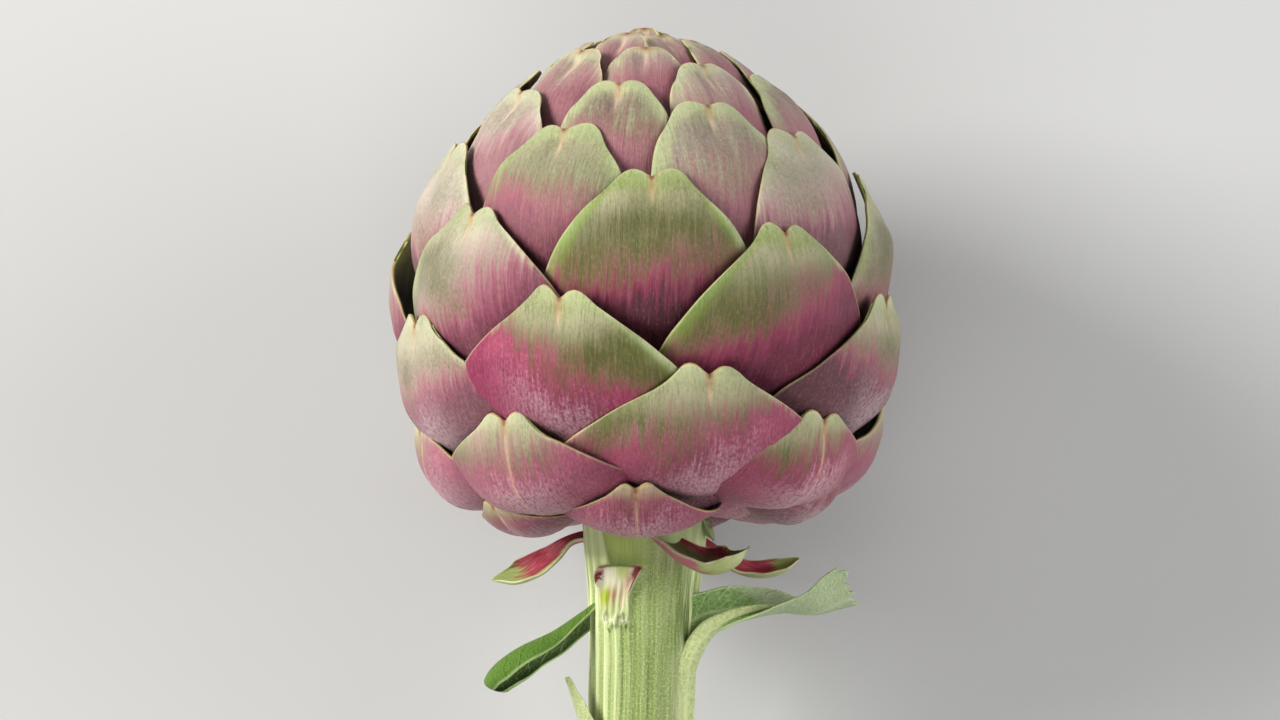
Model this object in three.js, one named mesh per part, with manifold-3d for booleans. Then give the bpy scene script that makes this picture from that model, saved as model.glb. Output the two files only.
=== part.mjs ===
// A purple globe artichoke, picked with a short length of stem and lying on its side.
// Millimetres. Each piece is first modelled upright: the growth axis is +Z, the underside of the head is
// near z = 0 and the side that ends up on top faces -Y. The whole group is then laid down on the surface.
// Bracts, broken bracts and stem leaves all sit on one golden-angle spiral. A bract's number on it is 0 for the
// one at the front in the middle of the head, lower towards the tip and higher towards the stem.

import * as THREE from 'three';
import { mergeVertices } from 'three/addons/utils/BufferGeometryUtils.js';
import Module from 'manifold-3d';

const wasm = await Module();
wasm.setup();

// Driving dimensions.
const GOLDEN_ANGLE = 137.508;
const FIRST_AZIMUTH = 2;
const FIRST_BRACT = -30;
const LAST_BRACT = 25;
const STEM_RIBS = 24;
const RIB_HEIGHT = 0.4;
const STEM_DRIFT = 0.022;
const GAP = 0.3;
const CORE_DEPTH = 4.6;
const SINK_PER_MM = 0.15;

// How the artichoke lies: rolled a little about its growth axis, with the axis sloping up from the cut end, and
// moved so that the origin is under the middle of the whole. That leaves three bracts of the head 0.8 mm into the
// surface round its weight, and what is below z = 0 is pressed flat.
const LIE_SLOPE = 9.42;
const LIE_ROLL = 1.56;
const SET_DOWN = { x: 0.23, y: -13.37, z: 44.37 };

// The head's outline from the tip to the neck: [radius, height].
const OUTLINE = [
  [0, 106], [14, 102.8], [27, 94.6], [36.8, 85], [44.2, 74.5], [50.2, 61.5],
  [52.4, 48], [51.6, 34], [47.6, 20.5], [41.4, 9.6], [33, 2.4], [23, -0.6], [11, 2.5],
];

// The stem from its cut end to its top inside the head: [height, radius].
const STEM = [
  [-78, 11.5], [-74, 11.2], [-45, 11.1], [-26, 11.3], [-12, 11.9], [-3, 13], [4, 13.6],
];

// Bract sizes along the spiral: number, distance of its tip from the head's tip along the outline, half width,
// length, radius of its bulge across, how far its belly bulges, and how far its tip may stand off.
const GROWTH = [
  [-34, 3.5, 4.4, 15, 8, 0.3, 0.6],
  [-21, 14, 10.6, 28, 14, 0.8, 0.8],
  [-13, 29, 14.8, 38, 21, 1.4, 1.2],
  [-5, 43.5, 19.5, 46, 29, 2.0, 1.5],
  [0, 56, 25, 52, 36, 2.4, 1.6],
  [5, 69.5, 28.5, 52, 39, 2.8, 1.6],
  [8, 82.5, 30, 50, 40, 3.2, 1.4],
  [13, 98.5, 29.5, 46, 38, 3.8, 0.8],
  [18, 111.5, 27, 40, 33, 4.2, 0.4],
  [21, 122.5, 20, 30, 24, 3.6, 0.4],
  [25, 130, 16, 25, 20, 2.6, 0.4],
];

const radians = THREE.MathUtils.degToRad;
const clamp = THREE.MathUtils.clamp;

const UP = new THREE.Vector3(0, 0, 1);

// Solids.
function solidOf(source) {
  const geometry = source.clone();
  geometry.deleteAttribute('normal');
  geometry.deleteAttribute('uv');
  const merged = mergeVertices(geometry, 1e-4);
  return new wasm.Manifold(new wasm.Mesh({
    numProp: 3,
    vertProperties: merged.attributes.position.array,
    triVerts: new Uint32Array(merged.index.array),
  }));
}

function facetedSolid(positions, triangles) {
  const geometry = new THREE.BufferGeometry();
  geometry.setAttribute('position', new THREE.Float32BufferAttribute(positions, 3));
  geometry.setIndex(triangles);
  return solidOf(geometry);
}

function geometryOf(solid) {
  const mesh = solid.getMesh();
  const positions = new Float32Array(mesh.numVert * 3);
  for (let i = 0; i < mesh.numVert; i++) {
    positions.set(mesh.vertProperties.subarray(i * mesh.numProp, i * mesh.numProp + 3), i * 3);
  }
  const geometry = new THREE.BufferGeometry();
  geometry.setAttribute('position', new THREE.BufferAttribute(positions, 3));
  geometry.setIndex(new THREE.BufferAttribute(new Uint32Array(mesh.triVerts), 1));
  geometry.computeVertexNormals();
  return geometry;
}

// The largest connected body: sealed pockets are filled and loose scraps dropped.
function wholeBody(solid) {
  return solid.decompose().reduce((best, body) => (body.volume() > best.volume() ? body : best));
}

// A closed shell between two like grids of points, outer and inner, each a list of rows.
function shell(outer, inner) {
  const rows = outer.length;
  const columns = outer[0].length;
  const positions = [...outer.flat(), ...inner.flat()].flatMap((p) => [p.x, p.y, p.z]);
  const at = (row, column, side) => side * rows * columns + row * columns + column;
  const triangles = [];
  const quad = (a, b, c, d) => triangles.push(a, b, c, a, c, d);
  for (let r = 0; r < rows - 1; r++) {
    for (let c = 0; c < columns - 1; c++) {
      quad(at(r, c, 0), at(r, c + 1, 0), at(r + 1, c + 1, 0), at(r + 1, c, 0));
      triangles.push(at(r, c, 1), at(r + 1, c + 1, 1), at(r, c + 1, 1));
      triangles.push(at(r, c, 1), at(r + 1, c, 1), at(r + 1, c + 1, 1));
    }
  }
  for (let c = 0; c < columns - 1; c++) {
    quad(at(0, c, 1), at(0, c + 1, 1), at(0, c + 1, 0), at(0, c, 0));
    quad(at(rows - 1, c, 0), at(rows - 1, c + 1, 0), at(rows - 1, c + 1, 1), at(rows - 1, c, 1));
  }
  for (let r = 0; r < rows - 1; r++) {
    quad(at(r, 0, 0), at(r + 1, 0, 0), at(r + 1, 0, 1), at(r, 0, 1));
    quad(at(r, columns - 1, 1), at(r + 1, columns - 1, 1), at(r + 1, columns - 1, 0), at(r, columns - 1, 0));
  }
  return facetedSolid(positions, triangles);
}

// The head's outline as a curve that is walked by its length.
const outline = new THREE.SplineCurve(OUTLINE.map(([r, z]) => new THREE.Vector2(r, z)));
const OUTLINE_LENGTH = outline.getLength();

function onOutline(distance) {
  const share = clamp(distance / OUTLINE_LENGTH, 0, 1);
  const point = outline.getPointAt(share);
  const tangent = outline.getTangentAt(share);
  return {
    radius: point.x,
    height: point.y,
    out: new THREE.Vector2(-tangent.y, tangent.x),
  };
}

function sizesOf(number) {
  const last = GROWTH.length - 1;
  let k = 0;
  while (k < last - 1 && number > GROWTH[k + 1][0]) k++;
  const [low, high] = [GROWTH[k], GROWTH[k + 1]];
  const share = clamp((number - low[0]) / (high[0] - low[0]), 0, 1);
  const [, tip, halfWidth, length, bulge, belly, stand] = low.map((v, i) => v + (high[i] - v) * share);
  return { tip, halfWidth, length, bulge, belly, stand };
}

// A bract's half width at a share of its length, 0 at the root and 1 at the tip.
const WIDEST = 0.5;
const ROOT_WIDTH = 0.45;
const LOBE_WIDTH = 0.26;
function widthAt(share) {
  if (share < WIDEST) {
    const swell = Math.sin((share / WIDEST) * Math.PI / 2);
    return ROOT_WIDTH + (1 - ROOT_WIDTH) * swell;
  }
  const late = (share - WIDEST) / (1 - WIDEST);
  return LOBE_WIDTH + (1 - LOBE_WIDTH) * (1 - late ** 2) ** 1.1;
}

// How far a bract stands out from the outline. Its shown part has a belly, every fourth tip gapes, and its root
// dives into the core.
const BELLY_SHARE = 0.66;
const SHUT = 0.35;
const OPEN = 1.3;
const ROOT_SINK = 3.5;
function standsOut(number, along) {
  const { length, belly, stand } = sizesOf(number);
  const shown = clamp((1 - along) / BELLY_SHARE, 0, 1);
  const gape = SHUT + OPEN * Math.max(0, Math.cos((number - 2) * Math.PI / 2));
  const tipLift = stand * gape * clamp((along - 0.5) / 0.5, 0, 1) ** 2;
  const rootDive = ROOT_SINK * clamp((0.46 - along) / 0.12, 0, 1);
  return belly * 4 * shown * (1 - shown) + tipLift - rootDive - SINK_PER_MM * (1 - along) * length;
}

// A point of a bract: across from -1 to 1, along from 0 at the root to 1 at the tip.
const LOBE_HEIGHT = 0.045;
const TIP_THICKNESS = 1.2;
const ROOT_THICKNESS = 9;
function bractPoint(number, across, along, inner) {
  const { tip, halfWidth, length, bulge } = sizesOf(number);
  const notched = clamp((along - 0.7) / 0.3, 0, 1) ** 2;
  const lobe = LOBE_HEIGHT * length * Math.sin(Math.PI * Math.abs(across)) * notched;
  const spot = onOutline(Math.max(0.4, tip + (1 - along) * length - lobe));
  const turn = across * halfWidth * widthAt(along) / bulge;
  const thickness = inner ? TIP_THICKNESS + ROOT_THICKNESS * (1 - along) * (1 - across * across) : 0;
  const reach = bulge - thickness;
  const drop = bulge - reach * Math.cos(turn) - standsOut(number, along);
  const radius = spot.radius - spot.out.x * drop;
  const height = spot.height - spot.out.y * drop;
  const azimuth = radians(FIRST_AZIMUTH - GOLDEN_ANGLE * number);
  return new THREE.Vector3(reach * Math.sin(turn), -radius, height).applyAxisAngle(UP, azimuth);
}

const ALONG = [0.34, 0.6, 0.8, 0.92, 1];
const ACROSS = [-1, -0.5, 0, 0.5, 1];
const ACROSS_WIDE = [-1, -0.67, -0.34, 0, 0.34, 0.67, 1];
const WIDE_FROM = -9;
function bract(number) {
  const across = number >= WIDE_FROM ? ACROSS_WIDE : ACROSS;
  const grid = (inner) => ALONG.map((v) => across.map((u) => bractPoint(number, u, v, inner)));
  return shell(grid(false), grid(true));
}

// The dense inside of the head, which the bracts stand out of.
function core() {
  const profile = [new THREE.Vector2(0, 0)];
  const steps = 14;
  for (let i = steps; i >= 0; i--) {
    const spot = onOutline(OUTLINE_LENGTH * (0.03 + 0.95 * i / steps));
    profile.push(new THREE.Vector2(
      Math.max(0.5, spot.radius - spot.out.x * CORE_DEPTH),
      spot.height - spot.out.y * CORE_DEPTH,
    ));
  }
  profile[0].y = profile[1].y;
  profile.push(new THREE.Vector2(0, profile[profile.length - 1].y));
  return solidOf(new THREE.LatheGeometry(profile, 30).rotateX(Math.PI / 2));
}

// The stem: a stalk with fine ribs along it, flat where it was cut and where it meets the head.
function stalk(extra, sidesPerRib) {
  const sides = STEM_RIBS * sidesPerRib;
  const positions = [];
  const triangles = [];
  for (const [height, radius] of STEM) {
    for (let i = 0; i < sides; i++) {
      const angle = (i / sides) * 2 * Math.PI;
      const rib = extra ? 0 : RIB_HEIGHT * (Math.cos(angle * STEM_RIBS) - 1) / 2;
      const reach = radius + extra + rib;
      positions.push(STEM_DRIFT * height + reach * Math.cos(angle), reach * Math.sin(angle), height);
    }
  }
  const rows = STEM.length;
  for (let row = 0; row < rows - 1; row++) {
    for (let i = 0; i < sides; i++) {
      const [a, b] = [row * sides + i, row * sides + (i + 1) % sides];
      triangles.push(a, b, b + sides, a, b + sides, a + sides);
    }
  }
  const top = (rows - 1) * sides;
  for (let i = 1; i < sides - 1; i++) {
    triangles.push(0, i + 1, i, top, top + i, top + i + 1);
  }
  return facetedSolid(positions, triangles);
}

// A thin curled blade along a line. Each station is where the middle of the blade runs, its half width, how far
// each half curls up in radians, which way its hollow side faces, and its thickness.
function blade(stations, steps, columns) {
  const curve = (pick) => new THREE.CatmullRomCurve3(
    stations.map((s) => new THREE.Vector3(...pick(s))), false, 'catmullrom', 0.5,
  );
  const middle = curve((s) => s.at);
  const hollow = curve((s) => s.hollow);
  const sizes = curve((s) => [s.half, s.curl, s.thick]);
  const outer = [];
  const inner = [];
  for (let i = 0; i <= steps; i++) {
    const share = i / steps;
    const point = middle.getPoint(share);
    const along = middle.getTangent(share);
    const face = hollow.getPoint(share);
    face.addScaledVector(along, -face.dot(along)).normalize();
    const side = new THREE.Vector3().crossVectors(face, along);
    const { x: half, y: curl, z: thick } = sizes.getPoint(share);
    const bend = Math.max(half, 0.3) / curl;
    const ring = (reach) => Array.from({ length: columns + 1 }, (_, c) => {
      const turn = (2 * c / columns - 1) * curl;
      return point.clone()
        .addScaledVector(side, reach * Math.sin(turn))
        .addScaledVector(face, bend - reach * Math.cos(turn));
    });
    outer.push(ring(bend + thick / 2));
    inner.push(ring(bend - thick / 2));
  }
  return shell(outer, inner);
}

// Stem leaves and the bracts that hang broken at the neck.
const BLADES = {
  leaf_broad: {
    steps: 14,
    columns: 6,
    stations: [
      { at: [5, -5, -30], half: 1.6, curl: 0.5, hollow: [0.6, 0.3, 0.8], thick: 2.6 },
      { at: [11.6, -5.6, -21.5], half: 3.2, curl: 0.6, hollow: [-0.2, -0.3, 0.95], thick: 1.9 },
      { at: [18, -6, -18], half: 6, curl: 0.75, hollow: [-0.2, -0.45, 0.85], thick: 1.2 },
      { at: [27, -6.2, -16.6], half: 7.2, curl: 0.85, hollow: [-0.1, -0.3, 0.95], thick: 0.9 },
      { at: [36, -6, -16.8], half: 8.2, curl: 0.9, hollow: [0, 0.05, 1], thick: 0.8 },
      { at: [44, -5, -13.2], half: 8.6, curl: 0.7, hollow: [0, 0.5, 0.9], thick: 0.8 },
    ],
  },
  leaf_curled: {
    steps: 12,
    columns: 8,
    stations: [
      { at: [-6, -1.5, -13], half: 2.2, curl: 0.8, hollow: [0.1, -0.5, -0.85], thick: 2.4 },
      { at: [-12.6, -3.2, -17.4], half: 3.4, curl: 1.5, hollow: [0.1, -0.6, -0.8], thick: 1.2 },
      { at: [-19, -4.8, -21.6], half: 5.6, curl: 2.2, hollow: [0.1, -0.65, -0.75], thick: 0.9 },
      { at: [-26, -7, -25.2], half: 7.2, curl: 2.5, hollow: [0.15, -0.7, -0.7], thick: 0.9 },
      { at: [-31.4, -7.2, -29.4], half: 7.6, curl: 2.6, hollow: [0.2, -0.7, -0.6], thick: 0.9 },
      { at: [-32, -7, -32.6], half: 4.6, curl: 2.3, hollow: [0.6, -0.5, -0.4], thick: 0.9 },
    ],
  },
  leaf_scale: {
    steps: 6,
    columns: 4,
    stations: [
      { at: [-5.5, -6, -54], half: 4, curl: 0.7, hollow: [0.9, 0.5, 0.1], thick: 1.6 },
      { at: [-11.6, -6.3, -45], half: 3.9, curl: 0.8, hollow: [0.9, 0.4, 0.3], thick: 1.4 },
      { at: [-14, -6.6, -37.5], half: 2.6, curl: 0.8, hollow: [0.9, 0.3, 0.3], thick: 1.1 },
      { at: [-16.6, -6.8, -30.6], half: 0.4, curl: 0.5, hollow: [0.9, 0.3, 0.3], thick: 0.8 },
    ],
  },
  broken_bract_left: {
    steps: 8,
    columns: 4,
    stations: [
      { at: [-9, 3, -0.6], half: 2, curl: 0.5, hollow: [0, -0.5, 0.85], thick: 1.6 },
      { at: [-16, 3.6, -2.6], half: 2, curl: 0.6, hollow: [-0.3, -0.6, 0.75], thick: 1.4 },
      { at: [-22, 4, -6.4], half: 3.4, curl: 0.8, hollow: [-0.3, -0.65, 0.7], thick: 1.2 },
      { at: [-28, 4, -10], half: 3.8, curl: 0.9, hollow: [-0.1, -0.65, 0.75], thick: 1 },
      { at: [-33, 3.6, -10.8], half: 1.2, curl: 0.9, hollow: [0.2, -0.6, 0.8], thick: 0.8 },
    ],
  },
  broken_bract_front: {
    steps: 8,
    columns: 4,
    stations: [
      { at: [2.5, -10.5, -0.4], half: 2.6, curl: 0.5, hollow: [0, -0.2, 1], thick: 1.6 },
      { at: [8.5, -14.4, -4], half: 4, curl: 0.8, hollow: [0, 0.1, 1], thick: 1.4 },
      { at: [14, -16.6, -6.4], half: 4.6, curl: 1, hollow: [-0.1, 0.15, 1], thick: 1.2 },
      { at: [19, -18, -5.6], half: 3.8, curl: 1.1, hollow: [-0.3, 0.1, 0.95], thick: 1 },
      { at: [21.4, -18.6, -3], half: 1, curl: 0.8, hollow: [-0.7, 0, 0.7], thick: 0.8 },
    ],
  },
  broken_bract_right: {
    steps: 8,
    columns: 4,
    stations: [
      { at: [9.4, 4, -0.6], half: 1.8, curl: 0.5, hollow: [0, -0.4, 0.9], thick: 1.6 },
      { at: [15.6, 5.2, -4.4], half: 2.2, curl: 0.7, hollow: [0.1, -0.45, 0.9], thick: 1.4 },
      { at: [21.5, 5.8, -8.4], half: 3, curl: 0.9, hollow: [0, -0.5, 0.85], thick: 1.1 },
      { at: [28, 6, -8.8], half: 3, curl: 1, hollow: [-0.2, -0.5, 0.85], thick: 1 },
      { at: [33, 5.8, -5.6], half: 1.2, curl: 0.9, hollow: [-0.6, -0.4, 0.7], thick: 0.8 },
    ],
  },
};

// The torn foot of a fallen leaf, which stands up from the stem.
const SCAR_LIPS = [
  [
    { at: [-9.6, -7.4, -8.4], half: 0.9, curl: 0.5, hollow: [0.8, 0.5, 0], thick: 1.2 },
    { at: [-10.6, -8.4, -12], half: 1.4, curl: 0.5, hollow: [0.8, 0.5, 0], thick: 1 },
    { at: [-9.4, -8.4, -15.6], half: 1.2, curl: 0.5, hollow: [0.8, 0.5, 0], thick: 1.2 },
  ],
  [
    { at: [-0.8, -12, -7], half: 0.9, curl: 0.5, hollow: [-0.9, 0.3, 0], thick: 1.2 },
    { at: [-1.8, -12.6, -10.5], half: 1.4, curl: 0.5, hollow: [-0.9, 0.3, 0], thick: 1 },
    { at: [-3.6, -11.6, -16], half: 1.4, curl: 0.5, hollow: [-0.9, 0.3, 0], thick: 1.2 },
  ],
];

// Each piece's own material: colour and roughness.
const FINISHES = {
  head: [0x93536c, 0.55],
  stem: [0xb3c184, 0.6],
  leaf_broad: [0x86a06c, 0.7],
  leaf_curled: [0x6f9a3c, 0.45],
  leaf_scale: [0xbccb9d, 0.6],
  broken_bract_left: [0x8e2f48, 0.5],
  broken_bract_front: [0x8a3350, 0.5],
  broken_bract_right: [0x94485a, 0.5],
};

function materialOf(name) {
  const [color, roughness] = FINISHES[name];
  return new THREE.MeshStandardMaterial({ name, color, roughness, metalness: 0 });
}

// The group that lies down, and the space under the surface as seen by the upright pieces.
const artichoke = new THREE.Group();
artichoke.rotation.set(radians(LIE_SLOPE - 90), 0, radians(LIE_ROLL));
artichoke.position.set(SET_DOWN.x, SET_DOWN.y, SET_DOWN.z);
artichoke.updateMatrix();

const GROUND_SIZE = 400;
function ground() {
  const box = new THREE.BoxGeometry(GROUND_SIZE, GROUND_SIZE, GROUND_SIZE);
  box.translate(0, 0, -GROUND_SIZE / 2);
  return solidOf(box.applyMatrix4(artichoke.matrix.clone().invert()));
}

// The pieces, upright. Neighbours are cut clear of each other by the gap.
const RIB_STEPS = 4;
const SIMPLIFY_BY = 0.3;
const stemRoom = stalk(GAP, 2);
const { union } = wasm.Manifold;

function head() {
  const numbers = Array.from({ length: LAST_BRACT - FIRST_BRACT + 1 }, (_, i) => FIRST_BRACT + i);
  const whole = wholeBody(union([core(), ...numbers.map(bract)]).subtract(stemRoom));
  return wholeBody(wholeBody(whole.simplify(SIMPLIFY_BY)).subtract(ground()));
}

function stem() {
  const lips = SCAR_LIPS.map((stations) => blade(stations, 4, 2));
  return wholeBody(union([stalk(0, RIB_STEPS), ...lips]));
}

const solids = { head: head(), stem: stem() };
for (const [name, { stations, steps, columns }] of Object.entries(BLADES)) {
  solids[name] = wholeBody(blade(stations, steps, columns).subtract(stemRoom).subtract(solids.head));
}
for (const [name, solid] of Object.entries(solids)) {
  const mesh = new THREE.Mesh(geometryOf(solid), materialOf(name));
  mesh.name = name;
  artichoke.add(mesh);
}

export default artichoke;
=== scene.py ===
"""A purple globe artichoke with a short length of stem, lying on a pale table and seen from above."""

import math

import bpy
import numpy as np
from mathutils import Matrix, Vector


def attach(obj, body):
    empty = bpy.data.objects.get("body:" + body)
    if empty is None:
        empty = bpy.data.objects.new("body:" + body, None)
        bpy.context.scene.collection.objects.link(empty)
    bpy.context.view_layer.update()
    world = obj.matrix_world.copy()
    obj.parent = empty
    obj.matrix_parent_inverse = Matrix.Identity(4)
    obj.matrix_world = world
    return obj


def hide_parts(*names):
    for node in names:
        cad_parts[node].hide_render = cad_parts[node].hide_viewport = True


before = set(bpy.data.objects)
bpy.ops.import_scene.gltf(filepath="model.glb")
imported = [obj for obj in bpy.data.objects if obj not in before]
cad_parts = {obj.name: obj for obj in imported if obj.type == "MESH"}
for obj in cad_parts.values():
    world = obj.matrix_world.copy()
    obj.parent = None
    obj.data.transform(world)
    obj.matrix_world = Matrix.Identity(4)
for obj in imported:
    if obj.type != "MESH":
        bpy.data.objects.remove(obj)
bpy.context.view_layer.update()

# Sizes are in millimetres in an upright frame: the growth axis is +Z, the head's underside is near z = 0
# and the side that ends up on top faces -Y. lay_down() takes points from there to the lying artichoke, in
# metres.
MM = 0.001
LIE_SLOPE = 9.42
LIE_ROLL = 1.56
SET_DOWN = (0.23, -13.37, 44.37)

GOLDEN_ANGLE = 137.508
FIRST_AZIMUTH = 2.0

# The head's outline from the tip to the neck: (radius, height).
OUTLINE = [
    (0, 106), (14, 102.8), (27, 94.6), (36.8, 85), (44.2, 74.5), (50.2, 61.5),
    (52.4, 48), (51.6, 34), (47.6, 20.5), (41.4, 9.6), (33, 2.4), (23, -0.6), (11, 2.5),
]

# Bract sizes along the spiral: number, distance of its tip from the head's tip along the outline, half
# width, length, radius of its bulge across, how far its belly bulges, and how far its tip may stand off.
GROWTH = [
    (-38, 0.2, 3.6, 13, 6, 0.5, 0.9),
    (-34, 2.4, 4.4, 15, 7, 0.7, 1.4),
    (-21, 14, 10.2, 30, 13, 1.3, 1.7),
    (-13, 29, 14.8, 43, 20, 2.0, 1.3),
    (-5, 43.5, 19.8, 53, 27, 3.0, 1.6),
    (0, 56, 25.5, 60, 33, 3.7, 1.6),
    (5, 69.5, 29, 61, 36, 4.2, 1.6),
    (8, 82.5, 31, 60, 37, 4.6, 1.4),
    (13, 98.5, 31, 56, 35, 5.2, 0.8),
    (18, 111.5, 28, 49, 31, 5.4, 0.4),
    (21, 122.5, 20.5, 38, 24, 4.4, 0.4),
    (25, 130, 16, 28, 20, 2.8, 0.4),
]
FIRST_NUMBER = GROWTH[0][0]
LAST_NUMBER = GROWTH[-1][0]

# Where the photograph shows the tips of the bracts, by number: pixels from its left and from its top. The
# tips at the sides have only their height. A pixel's size holds at the growth axis, and z = 0 is in the
# foot's row.
TIPS_SEEN = {
    -21: (645, 50), -18: (582, 53), -16: (700, 68), -15: (None, 73), -13: (619, 88),
    -11: (761, 77), -10: (522, 95), -8: (707, 110), -7: (None, 111), -6: (None, 110),
    -5: (566, 134), -3: (791, 138), -2: (455, 152), 0: (652, 182), 2: (None, 181),
    3: (476, 219), 5: (783, 237), 6: (None, 243), 8: (561, 301), 10: (884, 306),
    11: (418, 326), 13: (708, 376), 15: (None, 400), 16: (508, 423), 18: (820, 420),
    19: (430, 430), 21: (637, 489), 23: (824, 476), 24: (496, 506),
}
PHOTO_WIDTH = 1280
PHOTO_MM_PER_PIXEL = 0.2126
AXIS_PIXEL = 645
FOOT_PIXEL = 532

# How many degrees a tip may be moved round the head to where the photograph shows it, how near to the
# head's edge it may be looked for, and how much luck the other tips have, in millimetres and in degrees.
MOST_TURN = 12
MOST_SINE = 0.97
TIP_LUCK = 0.9
TURN_LUCK = 1.2
TIP_SEED = 3

# The stem from its cut end to its top inside the head: (height, radius). It drifts to one side and its
# ribs sway.
STEM = [(-78, 11.5), (-74, 11.2), (-45, 11.1), (-26, 11.3), (-12, 11.9), (-3, 13), (4, 13.6)]
STEM_DRIFT = 0.022
STEM_RIBS = 24
RIB_HEIGHT = 0.4
RIB_SWAY = 0.03
RIB_SWAY_RATE = 0.05
ARC_PER_DEGREE = 11.2 * math.pi / 180


# Laying down. What would be under the table is pressed to a hair above it.
def lying_matrix():
    roll = Matrix.Rotation(math.radians(LIE_ROLL), 4, "Z")
    slope = Matrix.Rotation(math.radians(LIE_SLOPE - 90), 4, "X")
    return Matrix.Translation(Vector(SET_DOWN) * MM) @ slope @ roll @ Matrix.Scale(MM, 4)


LYING = lying_matrix()
TURNED = LYING.to_3x3().normalized()
CLEARANCE = 0.00005


def lay_down(points):
    matrix = np.array(LYING)
    return np.asarray(points, float) @ matrix[:3, :3].T + matrix[:3, 3]


def settle(obj):
    """Presses a piece flat where it would be under the table."""
    mesh = obj.data
    points = np.empty(len(mesh.vertices) * 3)
    mesh.vertices.foreach_get("co", points)
    points = points.reshape(-1, 3)
    points[:, 2] = np.maximum(points[:, 2], CLEARANCE)
    mesh.vertices.foreach_set("co", points.ravel())
    mesh.update()
    return obj


# Node trees. A Term is a number socket that takes part in ordinary sums.
class Term:
    def __init__(self, nodes, socket):
        self.nodes = nodes
        self.socket = socket

    def math(self, operation, *others, clamp=False):
        return self.nodes.sum(operation, self, *others, clamp=clamp)

    def __add__(self, other):
        return self.math("ADD", other)

    def __sub__(self, other):
        return self.math("SUBTRACT", other)

    def __mul__(self, other):
        return self.math("MULTIPLY", other)

    def __truediv__(self, other):
        return self.math("DIVIDE", other)

    def __pow__(self, other):
        return self.math("POWER", other)

    def __neg__(self):
        return self.math("MULTIPLY", -1.0)

    def __radd__(self, other):
        return self.nodes.sum("ADD", other, self)

    def __rsub__(self, other):
        return self.nodes.sum("SUBTRACT", other, self)

    def __rmul__(self, other):
        return self.nodes.sum("MULTIPLY", other, self)

    def __rtruediv__(self, other):
        return self.nodes.sum("DIVIDE", other, self)

    def sin(self):
        return self.math("SINE")

    def cos(self):
        return self.math("COSINE")

    def size(self):
        return self.math("ABSOLUTE")

    def over(self, least):
        return self.math("MAXIMUM", least)

    def under(self, most):
        return self.math("MINIMUM", most)

    def clamped(self):
        return self.math("ADD", 0.0, clamp=True)

    def hump(self, width):
        """1 where the term is 0, falling to nothing past the width."""
        return (-((self / width) ** 2)).math("EXPONENT")

    def rise(self, low, high):
        """0 up to low and 1 from high, smooth between."""
        return self.nodes.term(
            "ShaderNodeMapRange", {"interpolation_type": "SMOOTHSTEP"},
            {"Value": self, "From Min": low, "From Max": high},
        )


class Nodes:
    """A node tree under construction. Every node comes from add()."""

    def __init__(self, tree):
        self.tree = tree

    def add(self, kind, settings=None, inputs=None):
        node = self.tree.nodes.new(kind)
        for name, value in (settings or {}).items():
            if name == "line":
                set_line(node.mapping, value)
            else:
                setattr(node, name, value)
        for key, value in (inputs or {}).items():
            self.feed(node.inputs[key], value)
        return node

    def feed(self, socket, value):
        if isinstance(value, Term):
            value = value.socket
        if isinstance(value, bpy.types.NodeSocket):
            self.tree.links.new(value, socket)
        else:
            socket.default_value = value

    def term(self, kind, settings=None, inputs=None, out=0):
        return Term(self, self.add(kind, settings, inputs).outputs[out])

    def sum(self, operation, *values, clamp=False):
        settings = {"operation": operation, "use_clamp": clamp}
        return self.term("ShaderNodeMath", settings, dict(enumerate(values)))

    def vector(self, x, y, z):
        return self.add("ShaderNodeCombineXYZ", None, {0: x, 1: y, 2: z}).outputs[0]

    def split(self, vector):
        node = self.add("ShaderNodeSeparateXYZ", None, {0: vector})
        return [Term(self, socket) for socket in node.outputs]

    def noise(self, vector, scale, detail=2.0, roughness=0.5):
        inputs = {"Vector": vector, "Scale": scale, "Detail": detail, "Roughness": roughness}
        return self.term("ShaderNodeTexNoise", None, inputs)

    def uneven(self, x, y, z, detail=2.0, roughness=0.5):
        """Noise about 0, with humps about 1 wide in x, y and z."""
        return self.noise(self.vector(x, y, z), 1.0, detail, roughness) - 0.5

    def mix(self, share, first, second):
        """Colours between first and second. The node itself keeps the share between 0 and 1."""
        node = self.add("ShaderNodeMix", {"data_type": "RGBA"})
        self.feed(node.inputs[0], share)
        self.feed(node.inputs[6], first)
        self.feed(node.inputs[7], second)
        return node.outputs[2]


def set_line(mapping, points):
    """A float curve of straight stretches."""
    line = mapping.curves[0]
    for (x, y), point in zip((points[0], points[-1]), (line.points[0], line.points[-1])):
        point.location = (x, y)
    for x, y in points[1:-1]:
        line.points.new(x, y)
    for point in line.points:
        point.handle_type = "VECTOR"
    mapping.update()


# Curves and meshes.
def catmull_rom(stations, shares, open_ends=False):
    """Points on a uniform Catmull-Rom curve through stations, at shares from 0 to 1."""
    stations = np.asarray(stations, float)
    last = len(stations) - 1
    before = stations[:1] if open_ends else 2 * stations[:1] - stations[1:2]
    after = stations[-1:] if open_ends else 2 * stations[-1:] - stations[-2:-1]
    padded = np.vstack([before, stations, after])
    at = np.clip(np.asarray(shares, float), 0, 1) * last
    k = np.minimum(at.astype(int), last - 1)
    t = (at - k)[..., None]
    p0, p1, p2, p3 = (padded[k + i] for i in range(4))
    v1, v2 = (p2 - p0) / 2, (p3 - p1) / 2
    return (2 * p1 - 2 * p2 + v1 + v2) * t ** 3 + (3 * p2 - 3 * p1 - 2 * v1 - v2) * t ** 2 + v1 * t + p1


def link(obj):
    bpy.context.scene.collection.objects.link(obj)
    return obj


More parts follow.
